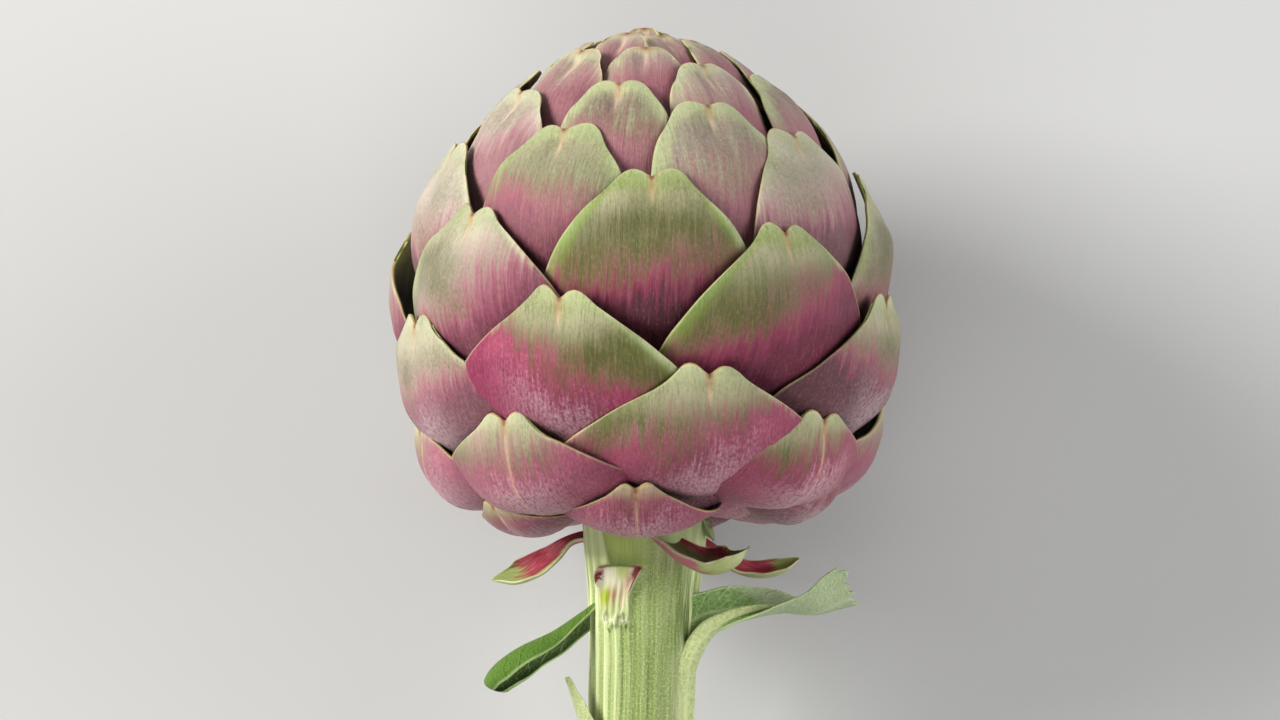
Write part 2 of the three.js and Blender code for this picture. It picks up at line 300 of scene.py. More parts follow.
def mesh_object(name, points, faces, material=None, smooth=True):
    mesh = bpy.data.meshes.new(name)
    mesh.from_pydata(np.asarray(points).tolist(), [], faces)
    mesh.update()
    mesh.polygons.foreach_set("use_smooth", [smooth] * len(mesh.polygons))
    if material:
        mesh.materials.append(material)
    return link(bpy.data.objects.new(name, mesh))


def add_attribute(obj, name, values):
    values = np.asarray(values, float)
    kind = "FLOAT_VECTOR" if values.ndim == 2 else "FLOAT"
    layer = obj.data.attributes.new(name, kind, "POINT")
    layer.data.foreach_set("vector" if values.ndim == 2 else "value", values.ravel())


def grid_faces(rows, columns, first=0, round_trip=False, flip=False):
    faces = []
    wide = columns if round_trip else columns - 1
    for r in range(rows - 1):
        for c in range(wide):
            d = (c + 1) % columns
            face = [first + r * columns + c, first + r * columns + d,
                    first + (r + 1) * columns + d, first + (r + 1) * columns + c]
            faces.append(face[::-1] if flip else face)
    return faces


def shell(outer, inner):
    """Points and faces of a closed shell between two like grids of points."""
    rows, columns = outer.shape[:2]
    count = rows * columns
    points = np.concatenate([outer.reshape(-1, 3), inner.reshape(-1, 3)])
    faces = grid_faces(rows, columns) + grid_faces(rows, columns, count, flip=True)
    for c in range(columns - 1):
        low, high = c, (rows - 1) * columns + c
        faces.append([low + count, low + 1 + count, low + 1, low])
        faces.append([high, high + 1, high + 1 + count, high + count])
    for r in range(rows - 1):
        left, right = r * columns, r * columns + columns - 1
        faces.append([left, left + columns, left + columns + count, left + count])
        faces.append([right + count, right + columns + count, right + columns, right])
    return points, faces


# Camera: square to the growth axis from above and far off, as the photograph looks from the front.
VIEW_DISTANCE = 2000.0
VIEW_CENTRE = (-1.06, 0.0, 36.6)


def aim(obj, eye, target, up):
    forward = (target - eye).normalized()
    right = forward.cross(up).normalized()
    obj.location = eye
    obj.rotation_mode = "QUATERNION"
    axes = Matrix((right, right.cross(forward), -forward)).transposed()
    obj.rotation_quaternion = axes.to_quaternion()


def make_camera():
    data = bpy.data.cameras.new("camera")
    camera = link(bpy.data.objects.new("camera", data))
    data.sensor_width = 36.0
    data.lens = data.sensor_width * VIEW_DISTANCE / (PHOTO_WIDTH * PHOTO_MM_PER_PIXEL)
    data.clip_start = 0.01
    data.clip_end = 20
    target = Vector(lay_down(VIEW_CENTRE))
    eye = target + TURNED @ Vector((0, -VIEW_DISTANCE * MM, 0))
    aim(camera, eye, target, TURNED @ Vector((0, 0, 1)))
    bpy.context.scene.camera = camera


make_camera()


# Materials.
FINEST_RELIEF = 0.0005
TABLE_GREY = (0.42, 0.42, 0.415, 1)
TABLE_HALF = 3.0


def new_material(name):
    material = bpy.data.materials.new(name)
    material.use_nodes = True
    nodes = Nodes(material.node_tree)
    return material, nodes, material.node_tree.nodes["Principled BSDF"]


def attribute(nodes, name, out="Fac"):
    return nodes.add("ShaderNodeAttribute", {"attribute_name": name}).outputs[out]


def add_relief(nodes, surface, height, strength=0.6):
    """Relief too fine for the mesh."""
    inputs = {"Strength": strength, "Distance": FINEST_RELIEF, "Height": height}
    nodes.feed(surface.inputs["Normal"], nodes.add("ShaderNodeBump", None, inputs).outputs[0])


def make_floor():
    material, nodes, surface = new_material("table")
    surface.inputs["Base Color"].default_value = TABLE_GREY
    surface.inputs["Roughness"].default_value = 0.85
    half = TABLE_HALF
    corners = [(-half, -half, 0), (half, -half, 0), (half, half, 0), (-half, half, 0)]
    floor = mesh_object("table_top", corners, [(0, 1, 2, 3)], material, smooth=False)


make_floor()


# Light: a soft key from the upper left of the picture, weaker lamps from its right, its top and below,
# and a pale room. Of each lamp: its upright place in millimetres, its size in metres, its power and its
# colour.
LIGHTS = {
    "key": ((-1320, -640, 640), 0.68, 46.0, (1.0, 0.985, 0.96)),
    "side": ((1280, -560, 320), 1.0, 21.0, (0.98, 0.985, 1.0)),
    "top": ((-120, -840, 1280), 0.8, 3.2, (1.0, 1.0, 1.0)),
    "low": ((-300, -1120, -800), 1.2, 12.5, (1.0, 0.99, 0.97)),
}
LIT_PLACE = (0, 0, 45)
ROOM_COLOUR = (0.93, 0.96, 1, 1)
ROOM_STRENGTH = 0.085


def make_lights():
    for name, (place, size, power, colour) in LIGHTS.items():
        data = bpy.data.lights.new(name, "AREA")
        data.size = size
        data.energy = power
        data.color = colour
        lamp = link(bpy.data.objects.new(name, data))
        aim(lamp, Vector(lay_down(place)), Vector(lay_down(LIT_PLACE)), Vector((0.1, 1, 0.1)))
    world = bpy.data.worlds.new("room")
    world.use_nodes = True
    background = world.node_tree.nodes["Background"]
    background.inputs["Color"].default_value = ROOM_COLOUR
    background.inputs["Strength"].default_value = ROOM_STRENGTH
    bpy.context.scene.world = world
    bpy.context.scene.view_settings.view_transform = "Standard"


make_lights()


# Bract skin. Its colour follows the bract: sage at the tip, then olive with greener margins, a streaky
# change to magenta and deep purple below, with painted shade at the foot, a pale bloom on the low bracts,
# pale wax and painted sheen on some bracts, fine pale fibres along it, a brown notch and a tan edge.
SAGE = (0.34, 0.325, 0.19, 1)
OLIVE = (0.07, 0.07, 0.010, 1)
LEAF_GREEN = (0.15, 0.23, 0.022, 1)
DUSTY_ROSE = (0.17, 0.07, 0.045, 1)
MAGENTA = (0.23, 0.016, 0.066, 1)
CRIMSON = (0.32, 0.028, 0.080, 1)
DEEP_PURPLE = (0.055, 0.007, 0.014, 1)
MAUVE = (0.27, 0.095, 0.115, 1)
PALE_GREEN = (0.40, 0.41, 0.20, 1)
PALE_OLIVE = (0.19, 0.19, 0.04, 1)
MINT = (0.42, 0.46, 0.25, 1)
LOBE_MAUVE = (0.15, 0.075, 0.065, 1)
YOUNG_PINK = (0.42, 0.17, 0.20, 1)
CREASE_PALE = (0.58, 0.43, 0.34, 1)
WAX_AND_SHEEN_PALE = (0.55, 0.47, 0.42, 1)
PALE_PINK = (0.46, 0.15, 0.23, 1)
DARK_OLIVE = (0.05, 0.055, 0.01, 1)
GREY_ROSE = (0.12, 0.08, 0.055, 1)
BLOOM = (0.64, 0.45, 0.48, 1)
EDGE_TAN = (0.36, 0.20, 0.085, 1)
EDGE_LIGHT = (0.50, 0.55, 0.27, 1)
NOTCH_BROWN = (0.16, 0.05, 0.02, 1)
NOTCH_PALE = (0.60, 0.36, 0.25, 1)
INNER_DARK = (0.045, 0.05, 0.012, 1)
INNER_GREEN = (0.27, 0.36, 0.08, 1)
GOLD_BROWN = (0.33, 0.15, 0.05, 1)
GOLD_PALE = (0.62, 0.48, 0.27, 1)

# By a bract's number: how far down from its tip it stays green, in millimetres, how far its purple leans to
# its right, how green its margins are, how dark its foot is, in deep purple and painted shade, and how thick
# its pale wax and painted sheen are.
GREEN_DOWN = [
    (-38, 2), (-22, 3), (-18, 4), (-16, 8), (-13, 12), (-10, 9), (-8, 16), (-5, 14), (-3, 13), (0, 19),
    (3, 15), (5, 14), (8, 12), (10, 10), (11, 11), (13, 9), (16, 5), (18, 3), (21, -3), (25, 0),
]
PURPLE_LEAN = [
    (-38, 0), (-13, 0.1), (-11, 0.3), (-8, 0.3), (-5, -0.2), (-3, 0.2), (0, 0.12), (3, 0.45),
    (5, 0.55), (8, -0.5), (10, -0.2), (11, 0.2), (13, 0.35), (16, 0.2), (18, 0.3), (25, 0),
]
GREEN_EDGE = [
    (-38, 0.1), (-17, 0.3), (-13, 0.4), (-8, 0.6), (-5, 0.6), (0, 1), (3, 0.7), (5, 0.9), (8, 0.5),
    (13, 0.35), (16, 0.2), (25, 0.2),
]
# How dark each bract's foot is: part deep purple pigment, part painted shade where the next bracts cover the
# foot.
FOOT_PURPLE_AND_SHADE = [
    (-38, 0.2), (-21, 0.3), (-13, 0.8), (-5, 0.8), (0, 1.3), (3, 0.7), (5, 0.75), (7, 0.6), (8, 0.15),
    (10, 1.2), (13, 0.1), (16, 0.2), (20, 0.3), (21, 0.1), (22, 0.6), (23, 1), (25, 0.6),
]
# Wax and painted sheen by number: real pale wax, and a painted sheen that makes the bracts at the left paler,
# where the key light falls.
WAX_AND_SHEEN = [
    (-38, 0.4), (-18, 0.5), (-16, 0.5), (-15, 0.4), (-13, 0.15), (-11, 0.3), (-10, 0.9), (-8, 0.3), (-7, 0.9),
    (-6, 0.3), (-5, 0.1), (-3, 0.7), (-2, 0.95), (-1, 0.2), (0, 0), (2, 0.35), (3, 0.5), (5, 0), (6, 0.6),
    (7, 0.1), (8, 0), (10, 0.3), (11, 0.6), (12, 0.1), (13, 0.1), (14, 0.4), (16, 0.3), (18, 0), (19, 0.5),
    (21, 0), (25, 0),
]


def by_number(nodes, number, pairs):
    """The value that pairs of a bract's number and a value give for a number, straight between two pairs."""
    values = [value for _, value in pairs]
    least, most = min(values), max(values)
    span = LAST_NUMBER - FIRST_NUMBER
    line = [((n - FIRST_NUMBER) / span, (value - least) / (most - least)) for n, value in pairs]
    share = (number - float(FIRST_NUMBER)) / span
    return nodes.term("ShaderNodeFloatCurve", {"line": line}, {"Value": share}) * (most - least) + least


def bract_skin():
    """Reads the attributes that the bracts carry: skin is millimetres across, millimetres down from the tip
    and the bract's number, margin is millimetres to the nearest margin, and outer is 1 on the outer face."""
    material, nodes, surface = new_material("bract_skin")
    across, down, number = nodes.split(attribute(nodes, "skin", "Vector"))
    margin = Term(nodes, attribute(nodes, "margin"))
    outer = Term(nodes, attribute(nodes, "outer"))
    far = number * 37.0
    cloud = nodes.uneven(across * 0.08, down * 0.07, far, 3.0)
    streak = nodes.uneven(across * 0.9, down * 0.06, far, 4.0, 0.65)
    fibre = nodes.uneven(across * 1.9, down * 0.22, far, 4.0, 0.74)
    grain = nodes.uneven(across * 1.7, down * 1.0, far, 4.0, 0.75)
    low_down = number.rise(8.0, 17.0)
    high_up = 1.0 - number.rise(-9.0, 0.0)
    young = 1.0 - number.rise(-19.0, -13.0)

    green_down = by_number(nodes, number, GREEN_DOWN)
    ripe = down - green_down + across * by_number(nodes, number, PURPLE_LEAN)
    ripe = ripe + across.size() * 0.10 + cloud * 20.0 + streak * 19.0 + fibre * 6.0 + grain * 6.0
    tip_pale = 1.0 - down.rise(2.0, 12.0)
    green_edge = (1.0 - margin.rise(1.2, 6.0)) * (1.0 - ripe.rise(-1.0, 7.0))

    colour = nodes.mix(tip_pale * 0.8 + cloud * 1.2 + streak * 0.9, OLIVE, SAGE)
    colour = nodes.mix(high_up * 0.85, colour, MINT)
    centre = margin.rise(1.6, 6.0) * high_up * (0.8 + cloud * 1.2 + streak * 1.4)
    colour = nodes.mix(centre, colour, nodes.mix(young, GREY_ROSE, YOUNG_PINK))
    green_edge = green_edge * by_number(nodes, number, GREEN_EDGE) * (0.85 + cloud * 2.0)
    colour = nodes.mix(green_edge, colour, LEAF_GREEN)
    colour = nodes.mix(ripe.rise(-6.0, 2.0) * 0.7, colour, DUSTY_ROSE)
    colour = nodes.mix(ripe.rise(-1.0, 8.0) * (1.0 - high_up * 0.45), colour, MAGENTA)
    colour = nodes.mix(ripe.rise(2.0, 10.0) * cloud.rise(-0.05, 0.15) * 0.8, colour, CRIMSON)
    # Deep purple at the foot, darkened further by painted shade where the covering bracts overlap it.
    deep = ripe.rise(2.5, 12.0) * by_number(nodes, number, FOOT_PURPLE_AND_SHADE)
    colour = nodes.mix(deep, colour, DEEP_PURPLE)
    mauve = high_up * ripe.rise(-3.0, 6.0) * 0.6 + low_down * ripe.rise(0.0, 9.0) * 0.22
    colour = nodes.mix(mauve, colour, MAUVE)
    bloom = across.hump(10.0) * (grain * 2.0 + 0.5).rise(0.0, 1.0)
    bloom = bloom * ripe.rise(4.0, 12.0) * number.rise(5.0, 8.0)
    colour = nodes.mix(bloom * 0.75, colour, BLOOM)
    lobes = (across.size() - 2.4).hump(2.0) * down.rise(0.8, 3.0) * (1.0 - down.rise(5.0, 15.0)) * high_up
    colour = nodes.mix(lobes * (0.5 + streak), colour, LOBE_MAUVE)
    pale_edge = (1.0 - margin.rise(0.3, 3.6)) * (1.0 - ripe.rise(1.0, 9.0))
    pale_edge = pale_edge * (0.6 + cloud * 2.0 + across * 0.02)
    colour = nodes.mix(pale_edge * 0.75, colour, MINT)
    purple = ripe.rise(-4.0, 5.0)
    pale = nodes.mix(tip_pale + high_up, PALE_OLIVE, PALE_GREEN)
    pale = nodes.mix(purple, pale, PALE_PINK)
    fine = fibre.rise(0.0, 0.24) * 0.42 + grain.rise(0.0, 0.22) * 0.42
    colour = nodes.mix(fine * (1.0 - purple * 0.45), colour, pale)
    dark = (-fibre).rise(0.0, 0.22) * 0.55 + (-grain).rise(0.0, 0.2) * 0.4
    colour = nodes.mix(dark * 0.85, colour, nodes.mix(purple, DARK_OLIVE, DEEP_PURPLE))

    # Painted sheen together with the pale wax: the bracts that face the key light are painted paler.
    wax_and_sheen = by_number(nodes, number, WAX_AND_SHEEN) * (0.48 + cloud * 1.2 + grain) * (1.0 - ripe.rise(0.0, 10.0) * 0.8)
    colour = nodes.mix(wax_and_sheen, colour, WAX_AND_SHEEN_PALE)

    keel = number.rise(14.0, 16.0)
    pale_line = (across + streak * 0.8).hump(0.42) * down.rise(1.5, 3.0)
    pale_line = pale_line * (1.0 - down.rise(3.5, 7.5) * (1.0 - keel * 0.8))
    colour = nodes.mix(pale_line * (0.5 + fibre * 2.0), colour, NOTCH_PALE)
    rim = (0.55 + cloud * 2.5).clamped()
    colour = nodes.mix((1.0 - margin.rise(0.2, 0.7)) * 0.5 * rim, colour, EDGE_LIGHT)
    tan = (1.0 - margin.rise(0.02, 0.28)) * (0.55 + cloud * 2.0 + tip_pale * 0.3)
    colour = nodes.mix(tan, colour, EDGE_TAN)
    gold = (1.0 - margin.rise(0.15, 0.9)) * young * (0.8 + cloud * 2.0)
    colour = nodes.mix(gold * 0.8, colour, GOLD_PALE)
    crease = across.hump(0.55) * down.rise(0.6, 2.0) * (1.0 - down.rise(4.0, 10.0)) * high_up
    colour = nodes.mix(crease * (0.5 + fibre * 2.0), colour, CREASE_PALE)
    brown_tip = (1.0 - (down + cloud * 3.0).rise(0.2, 1.7)) * across.hump(3.0)
    brown_tip = brown_tip * (1.0 - number.rise(-24.0, -12.0))
    colour = nodes.mix(brown_tip * 0.8, colour, GOLD_BROWN)
    notch_mark = across.hump(1.0) * (1.0 - down.rise(1.0, 4.5)) * (0.6 + fibre * 2.0)
    colour = nodes.mix(notch_mark * (1.0 - young), colour, EDGE_TAN)
    notch = across.hump(0.7) * (1.0 - margin.rise(0.3, 1.3)) * (1.0 - down.rise(3.0, 5.0))
    colour = nodes.mix(notch * 0.95, colour, NOTCH_BROWN)

    inside = nodes.mix(down.rise(1.0, 13.0), INNER_GREEN, INNER_DARK)
    colour = nodes.mix(outer.rise(0.35, 0.65), inside, colour)
    nodes.feed(surface.inputs["Base Color"], colour)
    nodes.feed(surface.inputs["Roughness"], 0.52 + fibre * 0.3)
    add_relief(nodes, surface, fibre * 0.9 + streak * 0.8 + grain * 0.5)
    surface.inputs["Specular IOR Level"].default_value = 0.3
    surface.inputs["Sheen Weight"].default_value = 0.08
    surface.inputs["Sheen Roughness"].default_value = 0.45
    return material


BRACT_SKIN = bract_skin()


# Bracts, grown by Geometry Nodes: a closed slab of points is copied along the spiral and each copy is
# bent to the head's outline.
OUTLINE_STEPS = 300


def outline_walk():
    return catmull_rom(OUTLINE, np.linspace(0, 1, OUTLINE_STEPS), open_ends=True)


def outline_curve():
    """The head's outline as a curve object that the bracts' tree walks along."""
    points = outline_walk()
    curve = bpy.data.curves.new("head_outline", "CURVE")
    curve.dimensions = "3D"
    spline = curve.splines.new("POLY")
    spline.points.add(len(points) - 1)
    for point, (radius, height) in zip(spline.points, points):
        point.co = (radius, 0, height, 1)
    return link(bpy.data.objects.new("head_outline", curve))


# Where along it a bract is widest, how wide its root and its lobes are there, the height of its lobes,
# the drop of its shoulders, where the notch begins, where its root begins and how much of it has a belly.
# Lobes and shoulders are given for the young bracts at the top and for the old ones, with the numbers
# between which they change. A bract of the full half width has the full thickness and relief.
WIDEST = 0.55
ROOT_WIDTH = 0.45
LOBE_WIDTH = (0.60, 0.25)
LOBE_HEIGHT = 0.044
SHOULDER_DROP = (0.088, 0.013)
YOUNG_TO_OLD = (-9.0, 6.0)
NOTCH_START = 0.74
ROOT_SHARE = 0.16
BELLY_SHARE = 0.58
FULL_HALF_WIDTH = 25.0

# How far the tips stand off: a share when shut and as much more when open. Every fourth bract is fully
# open.
SHUT = 0.35
OPEN = 0.7
OPEN_BRACT = 2
OPEN_TURN = 2 * math.pi / 4

# How deep a bract sinks in for each millimetre down, and for how many millimetres: low bracts, and how
# many more for the others.
SINK_PER_MM = 0.16
SINK_STOPS = 25.0
SINK_MORE = 40.0

# Thickness in millimetres: at the margins, how much more in the middle, and how much more still at the root.
MARGIN_THICKNESS = 0.55
MIDDLE_THICKER = 0.7
ROOT_THICKER = 2.4
LEAST_FULLNESS = 0.45

# Relief in millimetres: the sway of the whole face, the valley below the notch on young and old bracts, the
# keel, the fine ribs and the curl of the margins, and the little spine in the notch.
SWAY_HEIGHT = 2.4
VALLEY_DEPTH = (1.5, 0.8)
KEEL_HEIGHT = 0.16
RIB_RELIEF = 0.07
RIBS_PER_MM = 2.3
CURL_HEIGHT = 0.35
SPINE_LENGTH = 0.3

# Luck from bract to bract: shares of the lobes' height and of the width, and a lean for each millimetre down.
LOBE_LUCK = 0.5
WIDTH_LUCK = 0.05
LEAN_LUCK = 0.035


def tip_places():
    """Each bract's number with the distance of its tip along the outline, and with its turn away from the
    spiral: from the photograph for the tips that it shows, else by the rule with a little luck."""
    walk = outline_walk()
    away = np.concatenate([[0], np.cumsum(np.hypot(*np.diff(walk, axis=0).T))])
    tangent = np.gradient(walk, axis=0)
    tangent = tangent / np.hypot(*tangent.T)[:, None]
    outward = np.column_stack([-tangent[:, 1], tangent[:, 0]])
    rule = np.array(GROWTH, float)
    random = np.random.RandomState(TIP_SEED)
    distances, turns = [], []
    for number in range(FIRST_NUMBER, LAST_NUMBER + 1):
        distance = np.interp(number, rule[:, 0], rule[:, 1]) + random.uniform(-TIP_LUCK, TIP_LUCK)
        turn = random.uniform(-TURN_LUCK, TURN_LUCK)
        if number in TIPS_SEEN:
            x, y = TIPS_SEEN[number]
            gape = SHUT + OPEN * max(math.cos((number - OPEN_BRACT) * OPEN_TURN), 0)
            shown = walk + outward * np.interp(number, rule[:, 0], rule[:, 6]) * gape
            lowest = np.argmin(shown[:, 1])
            height = (FOOT_PIXEL - y) * PHOTO_MM_PER_PIXEL
            distance = np.interp(-height, -shown[:lowest, 1], away[:lowest])
            radius = np.interp(distance, away, shown[:, 0])
            azimuth = (FIRST_AZIMUTH - GOLDEN_ANGLE * number + 180) % 360 - 180
            if x is not None:
                sine = (x - AXIS_PIXEL) * PHOTO_MM_PER_PIXEL / radius
                turn = math.degrees(math.asin(min(max(sine, -MOST_SINE), MOST_SINE))) - azimuth
                turn = min(max(turn, -MOST_TURN), MOST_TURN)
        distances.append((number, distance))
        turns.append((number, turn))
    return distances, turns


TIP_DISTANCES, TIP_TURNS = tip_places()


def growth_line(nodes, number, column):
    """A column of the growth table, read at a bract's number."""
    most = max(row[column] for row in GROWTH)
    span = LAST_NUMBER - FIRST_NUMBER
    line = [((row[0] - FIRST_NUMBER) / span, row[column] / most) for row in GROWTH]
    share = (number - float(FIRST_NUMBER)) / span
    return nodes.term("ShaderNodeFloatCurve", {"line": line}, {"Value": share}) * most


def width_along(along, number):
    """The share of its half width that a bract has along it."""
    swell = ROOT_WIDTH + (1 - ROOT_WIDTH) * ((along / WIDEST).clamped() * (math.pi / 2)).sin()
    late = ((along - WIDEST) / (1 - WIDEST)).clamped()
    young, old = LOBE_WIDTH
    lobe_width = young - number.rise(*YOUNG_TO_OLD) * (young - old)
    taper = lobe_width + (1.0 - lobe_width) * (1.0 - late * late).over(0.0) ** 1.1
    return swell.under(taper)


def bracts_tree():
    tree = bpy.data.node_groups.new("bracts_on_spiral", "GeometryNodeTree")
    sockets = [
        ("Outline", "NodeSocketObject"), ("First bract", "NodeSocketInt"), ("Count", "NodeSocketInt"),
        ("Columns", "NodeSocketInt"), ("Rows", "NodeSocketInt"), ("Skin", "NodeSocketMaterial"),
        ("Unevenness", "NodeSocketFloat"),
    ]
    for name, kind in sockets:
        tree.interface.new_socket(name, in_out="INPUT", socket_type=kind)
    tree.interface.new_socket("Bracts", in_out="OUTPUT", socket_type="NodeSocketGeometry")
    nodes = Nodes(tree)
    given = nodes.add("NodeGroupInput").outputs

    slab = nodes.add("GeometryNodeMeshCube", None, {
        "Size": (2.0, 1.0, 1.0), "Vertices X": given["Columns"], "Vertices Y": given["Rows"], "Vertices Z": 2,
    }).outputs["Mesh"]
    place = nodes.split(nodes.add("GeometryNodeInputPosition").outputs[0])
    grown = 1.0 - (0.5 - place[1]).over(0.0) ** 1.35
    along_slab = ROOT_SHARE + (1 - ROOT_SHARE) * grown
    for name, value in (("across", place[0]), ("along", along_slab), ("outer", place[2] + 0.5)):
        slab = nodes.add("GeometryNodeStoreNamedAttribute", {"data_type": "FLOAT", "domain": "POINT"}, {
            "Geometry": slab, "Name": name, "Value": value,
        }).outputs[0]
    seeds = nodes.add("GeometryNodePoints", None, {"Count": given["Count"]}).outputs[0]
    copies = nodes.add("GeometryNodeInstanceOnPoints", None, {"Points": seeds, "Instance": slab}).outputs[0]
    index = nodes.term("GeometryNodeInputIndex")
    copies = nodes.add("GeometryNodeStoreNamedAttribute", {"data_type": "FLOAT", "domain": "INSTANCE"}, {
        "Geometry": copies, "Name": "number", "Value": index + Term(nodes, given["First bract"]),
    }).outputs[0]
    copies = nodes.add("GeometryNodeRealizeInstances", None, {"Geometry": copies}).outputs[0]

    def stored(name):
        return nodes.term("GeometryNodeInputNamedAttribute", {"data_type": "FLOAT"}, {"Name": name})

    across, along, outer, number = (stored(n) for n in ("across", "along", "outer", "number"))
    half_width, length, bulge, belly, stand = (growth_line(nodes, number, k) for k in range(2, 7))
    tip = by_number(nodes, number, TIP_DISTANCES)

    def luck(seed):
        """A random number from -1 to 1 for each bract."""
        return nodes.term("FunctionNodeRandomValue", {"data_type": "FLOAT"}, {
            2: -1.0, 3: 1.0, "ID": number + 100.0, "Seed": seed,
        }, out=1)

    uneven = Term(nodes, given["Unevenness"])
    notched = ((along - NOTCH_START) / (1.0 - NOTCH_START)).clamped() ** 2
    lobe_lean = 1.0 + luck(3) * across * LOBE_LUCK
    young, old = SHOULDER_DROP
    shoulder = young - number.rise(*YOUNG_TO_OLD) * (young - old)
    lobe = LOBE_HEIGHT * length * (across.size() * math.pi).sin() * lobe_lean * notched
    lobe = lobe - shoulder * length * across.size() ** 3.0 * notched
    spine = across.hump(0.06) * notched * notched * SPINE_LENGTH
    torn = nodes.uneven(across * half_width * 0.8, number * 5.0, 0.0, 3.0, 0.7)
    lobe = lobe + torn * notched ** 3.0 * (0.5 + 2.0 * (1.0 - number.rise(-22.0, -12.0)))
    away = (tip + (1.0 - along) * length - lobe - spine).over(0.1)
    sample = nodes.add("GeometryNodeSampleCurve", {"mode": "LENGTH", "use_all_curves": True}, {
        "Curves": nodes.add("GeometryNodeObjectInfo", None, {"Object": given["Outline"]}).outputs["Geometry"],
        "Length": away,
    })
    radius, _, height = nodes.split(sample.outputs["Position"])
    step_out, _, step_up = nodes.split(sample.outputs["Tangent"])

    shown = ((1.0 - along) / BELLY_SHARE).clamped()
    gape = SHUT + OPEN * ((number - float(OPEN_BRACT)) * OPEN_TURN).cos().over(0.0)
    near_tip = ((along - 0.5) / 0.5).clamped() ** 2
    x = across * half_width * width_along(along, number) * (1.0 + luck(2) * uneven * WIDTH_LUCK)
    down = (1.0 - along) * length - lobe - spine

    fullness = half_width / FULL_HALF_WIDTH
    sway = nodes.uneven(x * 0.07, down * 0.06, number * 11.0, 1.0) * SWAY_HEIGHT * uneven * fullness
    young, old = VALLEY_DEPTH
    valley = young - number.rise(-10.0, 2.0) * (young - old)
    valley = across.hump(0.24) * down.rise(0.0, 3.0) * (1.0 - down.rise(4.0, 16.0)) * valley
    keel = x.hump(1.3) * down.rise(3.0, 12.0) * KEEL_HEIGHT
    drift = nodes.noise(nodes.vector(x * 0.2, down * 0.05, number), 1.0, 1.0) * 9.0
    ribs = (x * RIBS_PER_MM + drift).sin() * down.rise(4.0, 14.0)
    ribs = ribs * (1.0 - across.size().rise(0.7, 0.95)) * RIB_RELIEF
    relief = (keel + ribs) * outer * fullness - valley
    curl = across.size() ** 6.0 * CURL_HEIGHT
    stands_out = belly * 4.0 * shown * (1.0 - shown) + stand * gape * near_tip + sway + relief + curl
    sinks_for = SINK_STOPS + (1.0 - number.rise(8.0, 12.0)) * SINK_MORE
    stands_out = stands_out - SINK_PER_MM * ((1.0 - along) * length).under(sinks_for)

    rim = (1.0 - across * across) * (1.0 - near_tip * near_tip)
    thickness = MARGIN_THICKNESS + rim * (MIDDLE_THICKER + ROOT_THICKER * (1.0 - along))
    thickness = thickness * fullness.over(LEAST_FULLNESS)
    reach = bulge - thickness * (1.0 - outer)
    turn = x / bulge
    drop = bulge - reach * turn.cos() - stands_out
    ring = radius + step_up * drop
    rise = height - step_out * drop
    sideways = reach * turn.sin()
    turned = by_number(nodes, number, TIP_TURNS)
    azimuth = (FIRST_AZIMUTH - GOLDEN_ANGLE * number + turned) * (math.pi / 180)
    sideways = sideways + luck(5) * uneven * LEAN_LUCK * down
    moved = nodes.vector(
        sideways * azimuth.cos() + ring * azimuth.sin(),
        sideways * azimuth.sin() - ring * azimuth.cos(),
        rise,
    )
    margin = ((1.0 - across.size()) * half_width * width_along(along, number)).under(down + lobe + spine)
    for name, kind, value in (
        ("skin", "FLOAT_VECTOR", nodes.vector(x, down, number)), ("margin", "FLOAT", margin),
    ):
        copies = nodes.add("GeometryNodeStoreNamedAttribute", {"data_type": kind, "domain": "POINT"}, {
            "Geometry": copies, "Name": name, "Value": value,
        }).outputs[0]
    copies = nodes.add("GeometryNodeSetPosition", None, {"Geometry": copies, "Position": moved}).outputs[0]
    for kind, inputs in (
        ("GeometryNodeSetShadeSmooth", {"Shade Smooth": True}),
        ("GeometryNodeSetMaterial", {"Material": given["Skin"]}),
    ):
        copies = nodes.add(kind, None, {"Geometry": copies, **inputs}).outputs[0]
    nodes.add("NodeGroupOutput", None, {0: copies})
    return tree


def grow(tree, name, settings):
    """Runs a Geometry Nodes tree with the given inputs and returns its result as a plain object."""
    maker = link(bpy.data.objects.new("maker", bpy.data.meshes.new("maker")))
    modifier = maker.modifiers.new("grow", "NODES")
    modifier.node_group = tree
    identifiers = {s.name: s.identifier for s in tree.interface.items_tree if s.in_out == "INPUT"}
    for key, value in settings.items():
        modifier[identifiers[key]] = value
    depsgraph = bpy.context.evaluated_depsgraph_get()
    mesh = bpy.data.meshes.new_from_object(maker.evaluated_get(depsgraph), depsgraph=depsgraph)
    maker.modifiers.clear()
    bpy.data.objects.remove(maker)
    mesh.name = name
    return link(bpy.data.objects.new(name, mesh))


# Each whorl is one piece: name, first and last bract, columns and rows of points.
WHORLS = [
    ("bracts_crown", -38, -19, 17, 21),
    ("bracts_shoulder", -18, -6, 29, 37),
    ("bracts_middle", -5, 9, 45, 57),
    ("bracts_base", 10, 25, 45, 49),
]


def make_bracts():
    tree = bracts_tree()
    outline = outline_curve()
    pieces = []
    for name, first, last, columns, rows in WHORLS:
        piece = grow(tree, name, {
            "Outline": outline, "First bract": first, "Count": last - first + 1, "Columns": columns,
            "Rows": rows, "Skin": BRACT_SKIN, "Unevenness": 1.0,
        })
        piece.data.transform(LYING)
        pieces.append(settle(piece))
    bpy.data.objects.remove(outline)
    return pieces


bracts = make_bracts()


